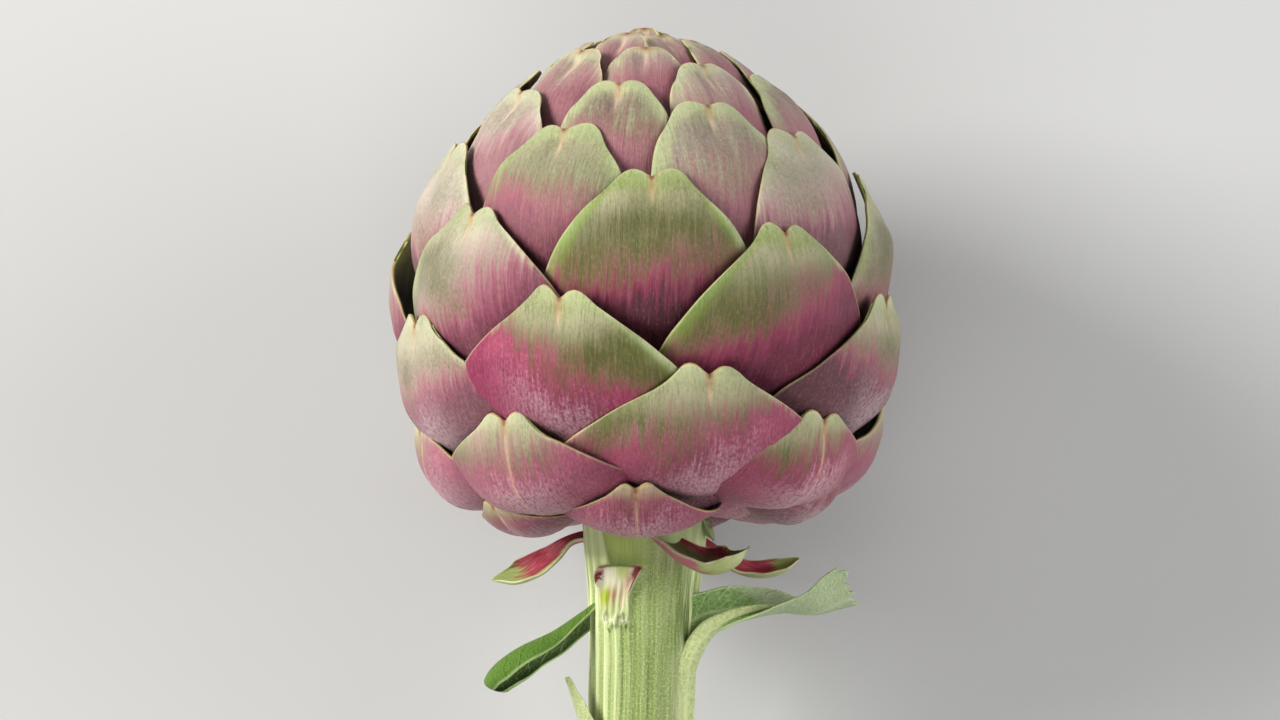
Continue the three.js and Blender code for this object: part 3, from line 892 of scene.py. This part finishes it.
# The dense inside of the head, coloured dark as painted shade and seen only as dark gaps between the bracts.
# It follows the outline at a depth that tapers off at both ends: (share of the outline, share of the depth).
CORE_DEPTH = 8.5
CORE_TAPER = [(0, 0.15), (0.12, 1), (0.8, 1), (1, 0.75)]
CORE_SPAN = (0.03, 0.985)
CORE_RINGS = 60
CORE_SIDES = 72
# Painted shade: dark purple and brown stand for the deep shadow between the bracts, not the heart's own
# colour.
CORE_SHADE_PURPLE = (0.05, 0.012, 0.02, 1)
CORE_SHADE_BROWN = (0.08, 0.04, 0.025, 1)


def heart_shade_skin():
    material, nodes, surface = new_material("heart_shade_skin")
    place = nodes.add("ShaderNodeTexCoord").outputs["Object"]
    shade = nodes.noise(place, 160.0, 3.0)
    nodes.feed(surface.inputs["Base Color"], nodes.mix(shade, CORE_SHADE_PURPLE, CORE_SHADE_BROWN))
    surface.inputs["Roughness"].default_value = 0.6
    return material


def ring_points(radii, heights, sides):
    angle = np.linspace(0, 2 * math.pi, sides, endpoint=False)
    x = radii[:, None] * np.cos(angle)
    y = radii[:, None] * np.sin(angle)
    return np.stack([x, y, np.repeat(heights[:, None], sides, 1)], -1)


def make_heart():
    walk = catmull_rom(OUTLINE, np.linspace(*CORE_SPAN, CORE_RINGS), open_ends=True)
    step = np.gradient(walk, axis=0)
    step /= np.hypot(*step.T)[:, None]
    depth = CORE_DEPTH * np.interp(np.linspace(0, 1, CORE_RINGS), *zip(*CORE_TAPER))
    radii = np.maximum(0.2, walk[:, 0] + step[:, 1] * depth)
    heights = walk[:, 1] - step[:, 0] * depth
    sides = CORE_SIDES
    points = ring_points(radii, heights, sides).reshape(-1, 3)
    faces = grid_faces(len(radii), sides, round_trip=True, flip=True)
    points = np.vstack([points, [0, 0, heights[0]], [0, 0, heights[-1]]])
    top, low = len(points) - 2, len(points) - 1
    last = (len(radii) - 1) * sides
    for i in range(sides):
        j = (i + 1) % sides
        faces.append([top, i, j])
        faces.append([low, last + j, last + i])
    return settle(mesh_object("head_heart", lay_down(points), faces, heart_shade_skin()))


heart = make_heart()


# The stem: 24 ribs and finer ones between, flatter at the front, smooth above the scar of the fallen
# leaf, with the ridge that the broad leaf's stalk runs down into. Azimuths are in degrees, lengths in
# millimetres.
RIDGE_AZIMUTH = 56.0
RIDGE_WIDTH = 17.0
RIDGE_HEIGHT = 0.9
PATCH_AZIMUTH = -15.0
SCAR_AZIMUTH = -27.0
SCAR_HALF_WIDTH = 25.0
SCAR_TOP = -6.8
SCAR_LENGTH = 12.0
STEM_RINGS = 150
POINTS_PER_RIB = 18
CUT_RINGS = (0.985, 0.9, 0.7, 0.45, 0.2, 0.02)
TOP_RINGS = (0.02,)
CUT_DISH = 0.5


def smooth(low, high, x):
    t = np.clip((x - low) / (high - low), 0, 1)
    return t * t * (3 - 2 * t)


def hump(x, width):
    return np.exp(-(x / width) ** 2)


def stem_surface(azimuth, height):
    """Upright points of the stem at azimuths in degrees, 0 at the front and positive to the right."""
    walk = np.array(STEM, float)
    radius = np.interp(height, walk[:, 0], walk[:, 1])
    angle = np.radians(azimuth)
    sway = RIB_SWAY * np.sin(height * RIB_SWAY_RATE) + 0.006 * np.sin(height * 0.31 + 1)
    ribs = (np.cos((angle + sway) * STEM_RIBS) - 1) / 2
    fine = np.cos((angle + sway * 1.3) * STEM_RIBS * 3 + 1.0)
    front = 1 - 0.65 * hump(azimuth - 12, 22)
    patch = hump(azimuth - PATCH_AZIMUTH, 24) * smooth(SCAR_TOP - 2, SCAR_TOP + 1, height)
    strength = front * (1 - patch) * (1 - 0.6 * smooth(-6, 0, height))
    ridge = RIDGE_HEIGHT * hump(azimuth - RIDGE_AZIMUTH, RIDGE_WIDTH)
    ridge = ridge * smooth(-75, -32, height) * (1 - smooth(-25, -21, height))
    aside = (azimuth - SCAR_AZIMUTH) / SCAR_HALF_WIDTH
    below = (SCAR_TOP - height) / SCAR_LENGTH
    sag = 0.05 * aside ** 2
    right_edge = 1.0 - np.minimum(below, 0.55)
    inside = smooth(-0.02, 0.05, below - sag) * (1 - smooth(0.8, 1.05, below))
    left_lip = 1.2 * hump(aside + 1.0, 0.13) * inside * (1 - smooth(0.25, 0.6, below))
    right_lip = 1.5 * hump(aside - right_edge, 0.13) * inside * (1 - 0.6 * smooth(0.3, 0.9, below))
    ragged = 0.10 * np.sin(aside * 7 + 1) + 0.06 * np.sin(aside * 17) + 0.04 * np.sin(aside * 31 + 2)
    fringe = 0.8 * hump(below - 0.98 + ragged, 0.05) * (1 - smooth(0.6, 1.0, np.abs(aside + 0.25)))
    floor = smooth(-1.0, -0.8, aside) * (1 - smooth(-0.2, 0.0, aside - right_edge)) * inside
    folds = 0.22 * np.sin(aside * 21 + below * 3) * floor * smooth(0.15, 0.5, below)
    bump = 0.8 * hump(aside + 0.62, 0.3) * hump(below - 0.55, 0.16)
    dent = floor * (1 - 0.6 * smooth(0.2, 0.9, below)) - left_lip - right_lip - fringe - folds - bump
    hollow = 0.7 * hump(azimuth - PATCH_AZIMUTH, 18) * hump(height - (SCAR_TOP + 1.5), 3.2)
    dent = dent + hollow * (1 - inside)
    strength = strength * (1 - inside * (1 - smooth(0.9, 1.2, np.abs(aside))))
    lumps = 0.12 * np.sin(angle * 5 + height * 0.12) * np.sin(height * 0.17 + angle * 3)
    reach = radius + RIB_HEIGHT * ribs * strength + 0.06 * fine * strength + ridge - dent + lumps
    x = STEM_DRIFT * height + reach * np.sin(angle)
    return np.stack([x, -reach * np.cos(angle), height + 0 * angle], -1)


STEM_GREEN = (0.22, 0.29, 0.08, 1)
STEM_FURROW = (0.115, 0.18, 0.028, 1)
STEM_RIB = (0.56, 0.62, 0.31, 1)
STEM_CREAM = (0.58, 0.58, 0.36, 1)
PATCH_GREEN = (0.33, 0.40, 0.08, 1)
PATCH_DARK = (0.06, 0.10, 0.01, 1)
SCAR_WHITE = (0.62, 0.60, 0.45, 1)
SCAR_PINK = (0.42, 0.20, 0.13, 1)
SCAR_RED = (0.15, 0.012, 0.018, 1)
SCAR_LIME = (0.33, 0.40, 0.02, 1)
PITH = (0.56, 0.55, 0.36, 1)
PITH_GREEN = (0.33, 0.38, 0.16, 1)


def stem_skin():
    """Reads the stem's attribute: millimetres round from the front, height, and the share of its radius."""
    material, nodes, surface = new_material("stem_skin")
    around, height, share = nodes.split(attribute(nodes, "stem", "Vector"))
    wide = nodes.uneven(around * 0.3, height * 0.03, 0.0)
    lines = nodes.uneven(around * 1.2, height * 0.03, 4.0, 3.0, 0.6)
    fine = nodes.uneven(around * 3.0, height * 0.10, 9.0, 3.0, 0.65)
    specks = nodes.uneven(around * 2.6, height * 1.9, 2.0, 3.0, 0.7)
    degrees = around / ARC_PER_DEGREE
    angle = degrees * (math.pi / 180) + (height * RIB_SWAY_RATE).sin() * RIB_SWAY
    rib = (angle * STEM_RIBS).cos() * 0.5 + 0.5
    band = (degrees - 8.0).hump(26.0)
    left = 1.0 - degrees.rise(-40.0, -12.0)
    right = degrees.rise(30.0, 55.0)
    side = (left + right * 0.6).clamped()

    colour = nodes.mix((lines + 0.5 + specks).rise(0.25, 0.7), STEM_FURROW, STEM_GREEN)
    ribbed = rib.rise(0.3, 0.9) * (side * 0.9 + 0.15) * (lines + 0.6).clamped()
    colour = nodes.mix(ribbed * 1.3, colour, STEM_RIB)
    colour = nodes.mix((side * 0.30 + wide * 1.2).clamped() * 0.8, colour, STEM_RIB)
    colour = nodes.mix(fine.rise(0.0, 0.25) * 0.45 * (1.0 - band * 0.5), colour, STEM_CREAM)
    colour = nodes.mix(specks.rise(0.02, 0.2) * 0.5, colour, STEM_RIB)
    colour = nodes.mix((-specks).rise(0.03, 0.22) * band * 0.55, colour, STEM_FURROW)
    furrows = (degrees - 52.0).hump(16.0) * (height + 17.0).hump(9.0) * (0.15 - lines - fine).rise(0.0, 0.2)
    colour = nodes.mix(furrows * 0.9, colour, PATCH_DARK)
    ridge = (degrees - RIDGE_AZIMUTH).hump(RIDGE_WIDTH)
    ridge = ridge * height.rise(-78.0, -34.0) * (1.0 - height.rise(-27.0, -23.0))
    colour = nodes.mix(ridge * 0.75 * (0.8 + fine * 2.0), colour, STEM_CREAM)

    neck = height.rise(-11.0, -2.0) * (1.0 - band * 0.5)
    colour = nodes.mix(neck * 0.6, colour, STEM_RIB)
    off = (degrees - PATCH_AZIMUTH + (height - SCAR_TOP) * 0.8) / 25.0
    in_patch = off.rise(-1.0, -0.8) * (1.0 - off.rise(0.3, 1.3)) * height.rise(SCAR_TOP - 0.2, SCAR_TOP + 0.4)
    patch = nodes.mix(fine * 2.5 + 0.4 + off * 0.3, PATCH_GREEN, STEM_GREEN)
    patch = nodes.mix((height - SCAR_TOP).hump(2.2) * (0.65 - off * 0.3), patch, PATCH_DARK)
    patch = nodes.mix((off + 0.9).hump(0.09) * 0.6, patch, PATCH_DARK)
    colour = nodes.mix(in_patch * 0.9, colour, patch)

    aside = (degrees - SCAR_AZIMUTH) / SCAR_HALF_WIDTH
    below = (SCAR_TOP - height) / SCAR_LENGTH
    ragged = fine * 0.5 + lines * 0.4
    sag = aside * aside * 0.05
    right_edge = 1.0 - below.over(0.0).under(0.55)
    left_edge = -1.0 - below.under(0.3) * 0.25
    in_scar = (below - sag).rise(-0.03, 0.01) * (1.0 - (below + ragged * 0.9).rise(0.8, 1.0))
    in_scar = in_scar * (aside - left_edge).rise(-0.05, 0.05)
    in_scar = in_scar * (1.0 - (aside - right_edge + specks * 0.2).rise(0.0, 0.1))
    scar = nodes.mix((below + fine * 1.2).rise(0.2, 0.6), SCAR_WHITE, STEM_CREAM)
    folds = (aside * 21.0 + below * 3.0).sin().rise(-0.2, 0.9) * below.rise(0.3, 0.6)
    scar = nodes.mix(folds * 0.55, scar, STEM_GREEN)
    scar = nodes.mix((below + lines).rise(0.5, 1.0) * 0.6, scar, STEM_GREEN)
    olive = (aside - 0.1 - lines).hump(0.45) * (below - 0.08).hump(0.2)
    scar = nodes.mix(olive * 0.9, scar, PATCH_GREEN)
    pink = (aside - right_edge + 0.35).hump(0.2) * (below - 0.3).hump(0.3)
    scar = nodes.mix((pink * 0.8 + fine * 0.5).clamped() * 0.8, scar, SCAR_PINK)
    lime = (aside + 0.66).hump(0.26) * (below - 0.56 + fine * 0.2).hump(0.15)
    scar = nodes.mix(lime * 1.5, scar, SCAR_LIME)
    umber = (aside + 0.3).hump(0.16) * (below - 0.5).hump(0.13)
    scar = nodes.mix(umber * 0.8, scar, SCAR_PINK)
    left_sliver = (aside - left_edge - 0.22 + below * 0.6 - specks * 0.3).hump(0.09)
    left_sliver = left_sliver * (below - 0.25).hump(0.16)
    right_sliver = (aside - right_edge + 0.16 - specks * 0.3).hump(0.12)
    right_sliver = right_sliver * (below - 0.08 + fine * 0.2).hump(0.16)
    right_thread = (aside - right_edge + 0.02).hump(0.05) * (1.0 - below.rise(0.4, 0.6))
    scar = nodes.mix((left_sliver + right_sliver) * 1.7 + right_thread, scar, SCAR_RED)
    colour = nodes.mix(in_scar, colour, scar)
    top_line = (below - sag + fine * 0.03).hump(0.03) * (1.0 - aside.size().rise(0.9, 1.05))
    ends = aside.size().rise(0.35, 0.8)
    colour = nodes.mix(top_line * 0.95, colour, nodes.mix(ends, PATCH_DARK, SCAR_RED))
    fringe = (below - 0.98 + ragged * 0.4).hump(0.05) * (1.0 - (aside + 0.25).size().rise(0.6, 0.9))
    colour = nodes.mix(fringe * 0.6, colour, SCAR_WHITE)

    cut = 1.0 - share.rise(0.93, 0.985)
    bundles = nodes.noise(nodes.vector(around * 0.9, share * 9.0, 3.0), 1.0, 2.0).rise(0.5, 0.62)
    flesh = nodes.mix(bundles * share.rise(0.45, 0.8), PITH, PITH_GREEN)
    colour = nodes.mix(cut, colour, flesh)
    nodes.feed(surface.inputs["Base Color"], colour)
    nodes.feed(surface.inputs["Roughness"], 0.55 + fine * 0.25)
    add_relief(nodes, surface, fine * 0.6 + lines * 0.6 + specks * 0.5)
    surface.inputs["Specular IOR Level"].default_value = 0.3
    return material


def cap_rings(rim, shares, dish):
    """Smaller rings that close an end of the stem, dished by that many millimetres in its middle."""
    middle = rim.mean(0)
    return np.array([middle + (rim - middle) * share + [0, 0, dish * (1 - share)] for share in shares])


def make_stem():
    sides = STEM_RIBS * POINTS_PER_RIB
    azimuths = np.linspace(-180, 180, sides, endpoint=False)
    heights = np.linspace(STEM[0][0], STEM[-1][0], STEM_RINGS)
    grid = stem_surface(*np.meshgrid(azimuths, heights))
    cut = cap_rings(grid[0], CUT_RINGS, CUT_DISH)[::-1]
    top = cap_rings(grid[-1], TOP_RINGS, 0)
    points = np.concatenate([cut, grid, top])
    rows = len(points)
    share = np.repeat([*CUT_RINGS[::-1], *np.ones(STEM_RINGS), *TOP_RINGS], sides)
    faces = grid_faces(rows, sides, round_trip=True)
    faces.append(list(range(sides))[::-1])
    faces.append([(rows - 1) * sides + i for i in range(sides)])
    flat = points.reshape(-1, 3)
    stem = mesh_object("stem_ribbed", lay_down(flat), faces, stem_skin())
    around = np.tile(azimuths * ARC_PER_DEGREE, rows)
    add_attribute(stem, "stem", np.stack([around, flat[:, 2], share], -1))
    return stem


stem = make_stem()


# Stem leaves and the bracts that hang broken at the neck. Each is a curled blade along a line of
# stations: where its middle runs, its half width, how far each half curls up in radians, which way its
# hollow side faces, its thickness, and how far the blade is shifted to one side of its midrib.
BLADES = {
    "leaf_broad": [
        ((4.5, -5.6, -32), 1.8, 0.5, (0.6, 0.1, 0.8), 2.6, 0),
        ((10.8, -6, -23), 5.0, 0.75, (-0.3, -0.75, 0.7), 1.7, 0.75),
        ((16.5, -6.2, -19.2), 5.2, 0.8, (-0.3, -0.7, 0.75), 1.1, 0.6),
        ((27, -6.2, -16.8), 6.2, 0.95, (-0.1, -0.15, 0.95), 0.9, 0.22),
        ((36, -6, -16.8), 8.2, 1.0, (0, 0.3, 1), 0.8, 0),
        ((44, -5, -13.4), 8.6, 0.8, (0, 0.6, 0.85), 0.8, 0),
    ],
    "leaf_stalk": [
        ((7.4, -5.8, -60), 0.4, 1.2, (-0.4, 0.9, 0), 1.2, 0),
        ((8.2, -6.6, -46), 1.8, 1.2, (-0.4, 0.9, 0), 2.0, 0),
        ((8.4, -7.0, -34), 2.7, 1.2, (-0.4, 0.9, 0), 2.2, 0),
        ((9.2, -7.6, -27.4), 2.8, 1.2, (-0.3, 0.9, 0.2), 2.4, 0),
        ((12.6, -7.4, -21.6), 2.3, 1.2, (-0.1, 0.9, 0.4), 2.2, 0),
        ((17.4, -7.2, -18.2), 1.5, 1.2, (0, 0.9, 0.5), 1.6, 0),
        ((23.6, -6.9, -16.2), 0.7, 1.0, (0, 0.9, 0.6), 1.0, 0),
        ((29, -6.8, -15.2), 0.25, 0.8, (0, 0.9, 0.6), 0.6, 0),
    ],
    "neck_stub": [
        ((10.5, -3.2, 4.4), 2.6, 1.2, (-0.7, -0.2, 0.3), 1.6, 0),
        ((13.2, -3.8, 1.6), 2.2, 1.4, (-0.7, -0.2, 0.3), 1.2, 0),
        ((14.6, -4.2, -1.4), 1.0, 1.2, (-0.7, -0.2, 0.3), 0.8, 0),
    ],
    "leaf_curled": [
        ((-6, -1.5, -13), 2.2, 0.8, (0.1, -0.5, -0.85), 2.4, 0),
        ((-12.6, -3.2, -17.4), 3.4, 1.5, (0.1, -0.6, -0.8), 1.2, 0),
        ((-19, -4.8, -21.6), 5.4, 2.2, (0.1, -0.65, -0.75), 0.9, 0),
        ((-26, -7, -25.2), 7.0, 2.5, (0.15, -0.7, -0.7), 0.9, 0),
        ((-31, -7.4, -29.2), 7.6, 2.7, (0.2, -0.7, -0.6), 0.9, 0),
        ((-33.2, -7, -32.8), 6.0, 2.6, (0.3, -0.7, -0.5), 0.9, 0),
    ],
    "leaf_scale": [
        ((-5.5, -6.5, -54), 4.4, 0.7, (0.9, 0.5, 0.1), 1.8, 0),
        ((-11.4, -6.8, -45), 4.2, 0.8, (0.9, 0.45, 0.3), 1.5, 0),
        ((-14, -6.8, -37.5), 2.9, 0.8, (0.9, 0.35, 0.3), 1.1, 0),
        ((-16.6, -6.8, -30.6), 0.5, 0.5, (0.9, 0.3, 0.3), 0.8, 0),
    ],
    "broken_bract_left": [
        ((-9, 3, -0.6), 1.6, 0.5, (0, -0.5, 0.85), 1.6, 0),
        ((-15.6, 3.4, -2.0), 1.7, 0.6, (-0.4, -0.6, 0.7), 1.4, 0),
        ((-20.6, 3.8, -6.2), 3.6, 0.8, (-0.4, -0.65, 0.65), 1.2, 0),
        ((-26.6, 3.8, -9.8), 4.3, 1.0, (-0.15, -0.65, 0.75), 1, 0),
        ((-32.6, 3.6, -10.4), 2.0, 1.1, (0.2, -0.6, 0.8), 0.8, 0),
    ],
    "broken_bract_front": [
        ((2.5, -10.5, -0.6), 3.0, 0.6, (0, -0.2, 1), 1.6, 0),
        ((8.5, -14.2, -6.0), 5.2, 1.2, (0, 0, 1), 1.4, 0.2),
        ((14, -16, -8.2), 6.2, 1.5, (-0.1, 0, 1), 1.1, 0.25),
        ((19, -17.2, -6.6), 5.6, 1.5, (-0.3, 0, 0.95), 0.9, 0.2),
        ((21.6, -17.8, -3.2), 2.4, 0.9, (-0.7, 0, 0.7), 0.8, 0),
    ],
    "broken_bract_right": [
        ((9.4, 4, -0.6), 1.8, 0.5, (0, -0.4, 0.9), 1.6, 0),
        ((15.6, 5.2, -5.0), 2.4, 0.7, (0.1, -0.45, 0.9), 1.4, 0),
        ((21.5, 5.8, -8.6), 3.2, 0.9, (0, -0.5, 0.85), 1.1, 0),
        ((28, 6, -8.6), 3.6, 1.1, (-0.2, -0.5, 0.85), 1, 0),
        ((33, 5.8, -5.8), 2.2, 1.1, (-0.6, -0.4, 0.7), 0.8, 0),
    ],
}


# How many points a torn end rises and falls between, and how high the long and the short waves of a margin
# are, in millimetres.
TEETH = 19
LONG_WAVE = 0.3
SHORT_WAVE = 0.15


def unit(vectors):
    return vectors / np.linalg.norm(vectors, axis=-1, keepdims=True)


def blade_grids(stations, rows, columns):
    """Upright outer and inner points of a blade, and its half width along it."""
    along = np.linspace(0, 1, rows)
    across = np.linspace(-1, 1, columns)
    table = np.array([[*at, half, curl, *hollow, *rest] for at, half, curl, hollow, *rest in stations], float)
    walk = catmull_rom(table, along)
    middle, half, curl, hollow = walk[:, :3], walk[:, 3], walk[:, 4], walk[:, 5:8]
    thick, shift = walk[:, 8], walk[:, 9]
    step = unit(np.gradient(middle, axis=0))
    face = unit(hollow - step * (hollow * step).sum(-1, keepdims=True))
    side = np.cross(face, step)
    bend = np.maximum(half, 0.3) / curl
    turn = (across[None, :] + shift[:, None]) * curl[:, None]
    thin = 1 - 0.6 * np.abs(across[None, :]) ** 3

    def ring(reach):
        sideways = (reach * np.sin(turn))[..., None] * side[:, None, :]
        inwards = (bend[:, None] - reach * np.cos(turn))[..., None] * face[:, None, :]
        return middle[:, None, :] + sideways + inwards

    outer = ring(bend[:, None] + thick[:, None] / 2 * thin)
    inner = ring(bend[:, None] - thick[:, None] / 2 * thin)
    return outer, inner, half


def make_blade(name, material, rows=100, columns=37, ragged=0.0, round_end=0.0, side=1, seed=1):
    """A blade with a wavy margin; ragged tears its end by that many millimetres, round_end rounds it off over
    that share of its length, and side tells which margin is the near one."""
    outer, inner, half = blade_grids(BLADES[name], rows, columns)
    random = np.random.default_rng(seed)
    along = np.linspace(0, 1, rows)[:, None]
    across = np.linspace(-1, 1, columns)[None, :]
    if round_end:
        late = np.clip((along - 1 + round_end) / round_end, 0, 1)
        narrow = np.sqrt(np.maximum(1 - late ** 2, 0.02))[..., None]
        middle = (outer[:, columns // 2] + inner[:, columns // 2])[:, None] / 2
        outer = middle + (outer - middle) * narrow
        inner = middle + (inner - middle) * narrow
    step = unit(np.gradient(outer, axis=0))
    marks = np.linspace(-1, 1, TEETH)
    teeth = np.interp(across[0], marks, random.uniform(-1, 1, TEETH))[None, :]
    reach = (ragged * teeth * along ** 8)[..., None]
    wave = LONG_WAVE * np.sin(along * 10 + seed) + SHORT_WAVE * np.sin(along * 27 + across * 2 + seed)
    wave = wave * across ** 2
    lift = unit(inner - outer) * wave[..., None]
    outer = outer + step * reach + lift
    inner = inner + step * reach + lift
    points, faces = shell(outer, inner)
    piece = mesh_object(name + "_fine", lay_down(points), faces, material)
    grids = np.broadcast_arrays(across * side, along, half[:, None])
    place = np.stack(grids, -1).reshape(-1, 3)
    add_attribute(piece, "blade", np.concatenate([place, place]))
    add_attribute(piece, "hollow_side", np.repeat([0.0, 1.0], rows * columns))
    return settle(piece)


TORN_RED = (0.20, 0.008, 0.02, 1)
TORN_BRIGHT = (0.32, 0.022, 0.05, 1)
TORN_GREEN = (0.30, 0.36, 0.11, 1)
TORN_PALE = (0.50, 0.50, 0.30, 1)
TORN_OLIVE = (0.07, 0.085, 0.02, 1)
BRACT_UNDER = (0.30, 0.08, 0.11, 1)


def broken_skin(name, olive_foot=0.0):
    """A torn bract: crimson on its hollow side with a green near margin and end, pale green below."""
    material, nodes, surface = new_material(name)
    near, along, half = nodes.split(attribute(nodes, "blade", "Vector"))
    hollow = Term(nodes, attribute(nodes, "hollow_side"))
    streak = nodes.uneven(near * half * 1.2, along * 3.0, half, 3.0, 0.6)
    fibre = nodes.uneven(near * half * 3.5, along * 7.0, half, 3.0, 0.6)
    inside = nodes.mix(streak * 2.5 + 0.4, TORN_RED, TORN_BRIGHT)
    foot = (1.0 - (along + streak * 0.4).rise(0.45, 0.62)) * (1.0 - near.size().rise(0.5, 0.85))
    inside = nodes.mix(foot * olive_foot, inside, TORN_OLIVE)
    green = (near + streak * 0.5 + along * 0.3).rise(0.82, 1.05)
    green = green + (along + streak * 0.3 + fibre * 0.2).rise(0.66, 0.8)
    inside = nodes.mix(green, inside, TORN_GREEN)
    outside = nodes.mix((along + streak * 0.7).rise(0.3, 0.6), BRACT_UNDER, TORN_GREEN)
    outside = nodes.mix((along + fibre * 0.6).rise(0.5, 1.0) * 0.6, outside, TORN_PALE)
    colour = nodes.mix(hollow.rise(0.35, 0.65), outside, inside)
    colour = nodes.mix(fibre.rise(0.02, 0.25) * 0.25, colour, TORN_PALE)
    colour = nodes.mix(near.size().rise(0.93, 0.99) * 0.6, colour, TORN_PALE)
    nodes.feed(surface.inputs["Base Color"], colour)
    nodes.feed(surface.inputs["Roughness"], 0.48 + fibre * 0.3)
    add_relief(nodes, surface, streak + fibre)
    return material


LEAF_TOP = (0.23, 0.419, 0.081, 1)
LEAF_FURROW = (0.065, 0.117, 0.039, 1)
LEAF_VEIN = (0.40, 0.50, 0.24, 1)
LEAF_FELT = (0.43, 0.50, 0.31, 1)
LEAF_FELT_DARK = (0.22, 0.30, 0.13, 1)
CURLED_TOP = (0.081, 0.18, 0.007, 1)
CURLED_UNDER = (0.068, 0.144, 0.011, 1)
CURLED_RIM = (0.42, 0.56, 0.22, 1)


def leaf_skin(name, above, furrow, vein, under, under_dark, veins_across, turned=2.0):
    """A leaf with a midrib, side veins and a fine net: green above, paler and felted below. Past the share of
    its length given by turned it has turned over and shows the felt."""
    material, nodes, surface = new_material(name)
    across, along, half = nodes.split(attribute(nodes, "blade", "Vector"))
    hollow = Term(nodes, attribute(nodes, "hollow_side"))
    wobble = nodes.noise(nodes.vector(across * 3.0, along * 8.0, 1.0), 1.0, 2.0)
    slant = along * veins_across - across.size() * 1.5 + wobble * 0.7
    side_vein = 1.0 - (slant * math.pi).sin().size().rise(0.0, 0.28)
    place = nodes.vector(across * half * 1.1, along * 46.0, 0.0)
    warp = nodes.noise(place, 0.6, 2.0) * 1.6
    place = nodes.vector(across * half * 1.1 + warp, along * 46.0 + warp, 0.0)
    net = nodes.term("ShaderNodeTexVoronoi", {"feature": "DISTANCE_TO_EDGE"}, {"Vector": place, "Scale": 1.0})
    net = 1.0 - net.rise(0.0, 0.2)
    midrib = across.hump(0.10)
    veins = (midrib + side_vein * 0.75 + net * 0.35).clamped()
    fine = nodes.uneven(across * half * 1.6, along * 70.0, 5.0, 3.0, 0.7)
    top = nodes.mix(fine * 2.5 + 0.45, furrow, above)
    top = nodes.mix(veins * 0.65, top, vein)
    below = nodes.mix(fine * 2.0 + 0.5, under_dark, under)
    below = nodes.mix(veins * 0.55, below, under)
    shows_top = hollow.rise(0.35, 0.65) * (1.0 - (along + across * 0.15).rise(turned - 0.06, turned + 0.06))
    colour = nodes.mix(shows_top, below, top)
    colour = nodes.mix((across.size() + fine * 0.05).rise(0.90, 0.98) * 0.7, colour, vein)
    nodes.feed(surface.inputs["Base Color"], colour)
    nodes.feed(surface.inputs["Roughness"], 0.6 + fine * 0.3)
    add_relief(nodes, surface, veins * 0.8 + fine * 1.2, strength=0.7)
    surface.inputs["Specular IOR Level"].default_value = 0.3
    surface.inputs["Sheen Weight"].default_value = 0.06
    return material


felt = leaf_skin("leaf_felt", LEAF_TOP, LEAF_FURROW, LEAF_VEIN, LEAF_FELT, LEAF_FELT_DARK, 13.0, 0.62)
green = leaf_skin("leaf_green", CURLED_UNDER, LEAF_FURROW, CURLED_RIM, CURLED_TOP, CURLED_UNDER, 9.0)
pale = leaf_skin("leaf_scale_skin", STEM_CREAM, STEM_GREEN, STEM_RIB, STEM_RIB, STEM_GREEN, 3.0)
torn = broken_skin("broken_bract_skin")
torn_deep = broken_skin("broken_bract_deep", 0.9)

# Each blade's material, its slot and how make_blade() cuts it.
CUTS = {
    "leaf_broad": (felt, "leaf_felt", {"ragged": 1.6, "seed": 3}),
    "leaf_stalk": (pale, "leaf_felt", {"round_end": 0.1, "seed": 9}),
    "neck_stub": (pale, "stem_skin", {"ragged": 0.8, "round_end": 0.3, "seed": 10}),
    "leaf_curled": (green, "leaf_green", {"columns": 61, "round_end": 0.08, "seed": 4}),
    "leaf_scale": (pale, "leaf_felt", {"seed": 5}),
    "broken_bract_left": (torn, "bract_inside", {"round_end": 0.3, "seed": 6}),
    "broken_bract_front": (
        torn_deep, "bract_inside", {"ragged": 1.2, "round_end": 0.3, "side": -1, "seed": 7},
    ),
    "broken_bract_right": (torn, "bract_inside", {"round_end": 0.3, "side": -1, "seed": 8}),
}
blades = {name: (make_blade(name, skin, **cut), slot) for name, (skin, slot, cut) in CUTS.items()}


# Every piece rides with the artichoke and stands for its solid. The stalk is part of the broad leaf, and
# the stub part of the stem.
PART_OF = {"leaf_stalk": "leaf_broad", "neck_stub": "stem"}
for piece in [*bracts, heart]:
    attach(piece, "root")
    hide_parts("head")
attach(stem, "root")
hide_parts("stem")
for name, (piece, slot) in blades.items():
    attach(piece, "root")
    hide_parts(PART_OF.get(name, name))
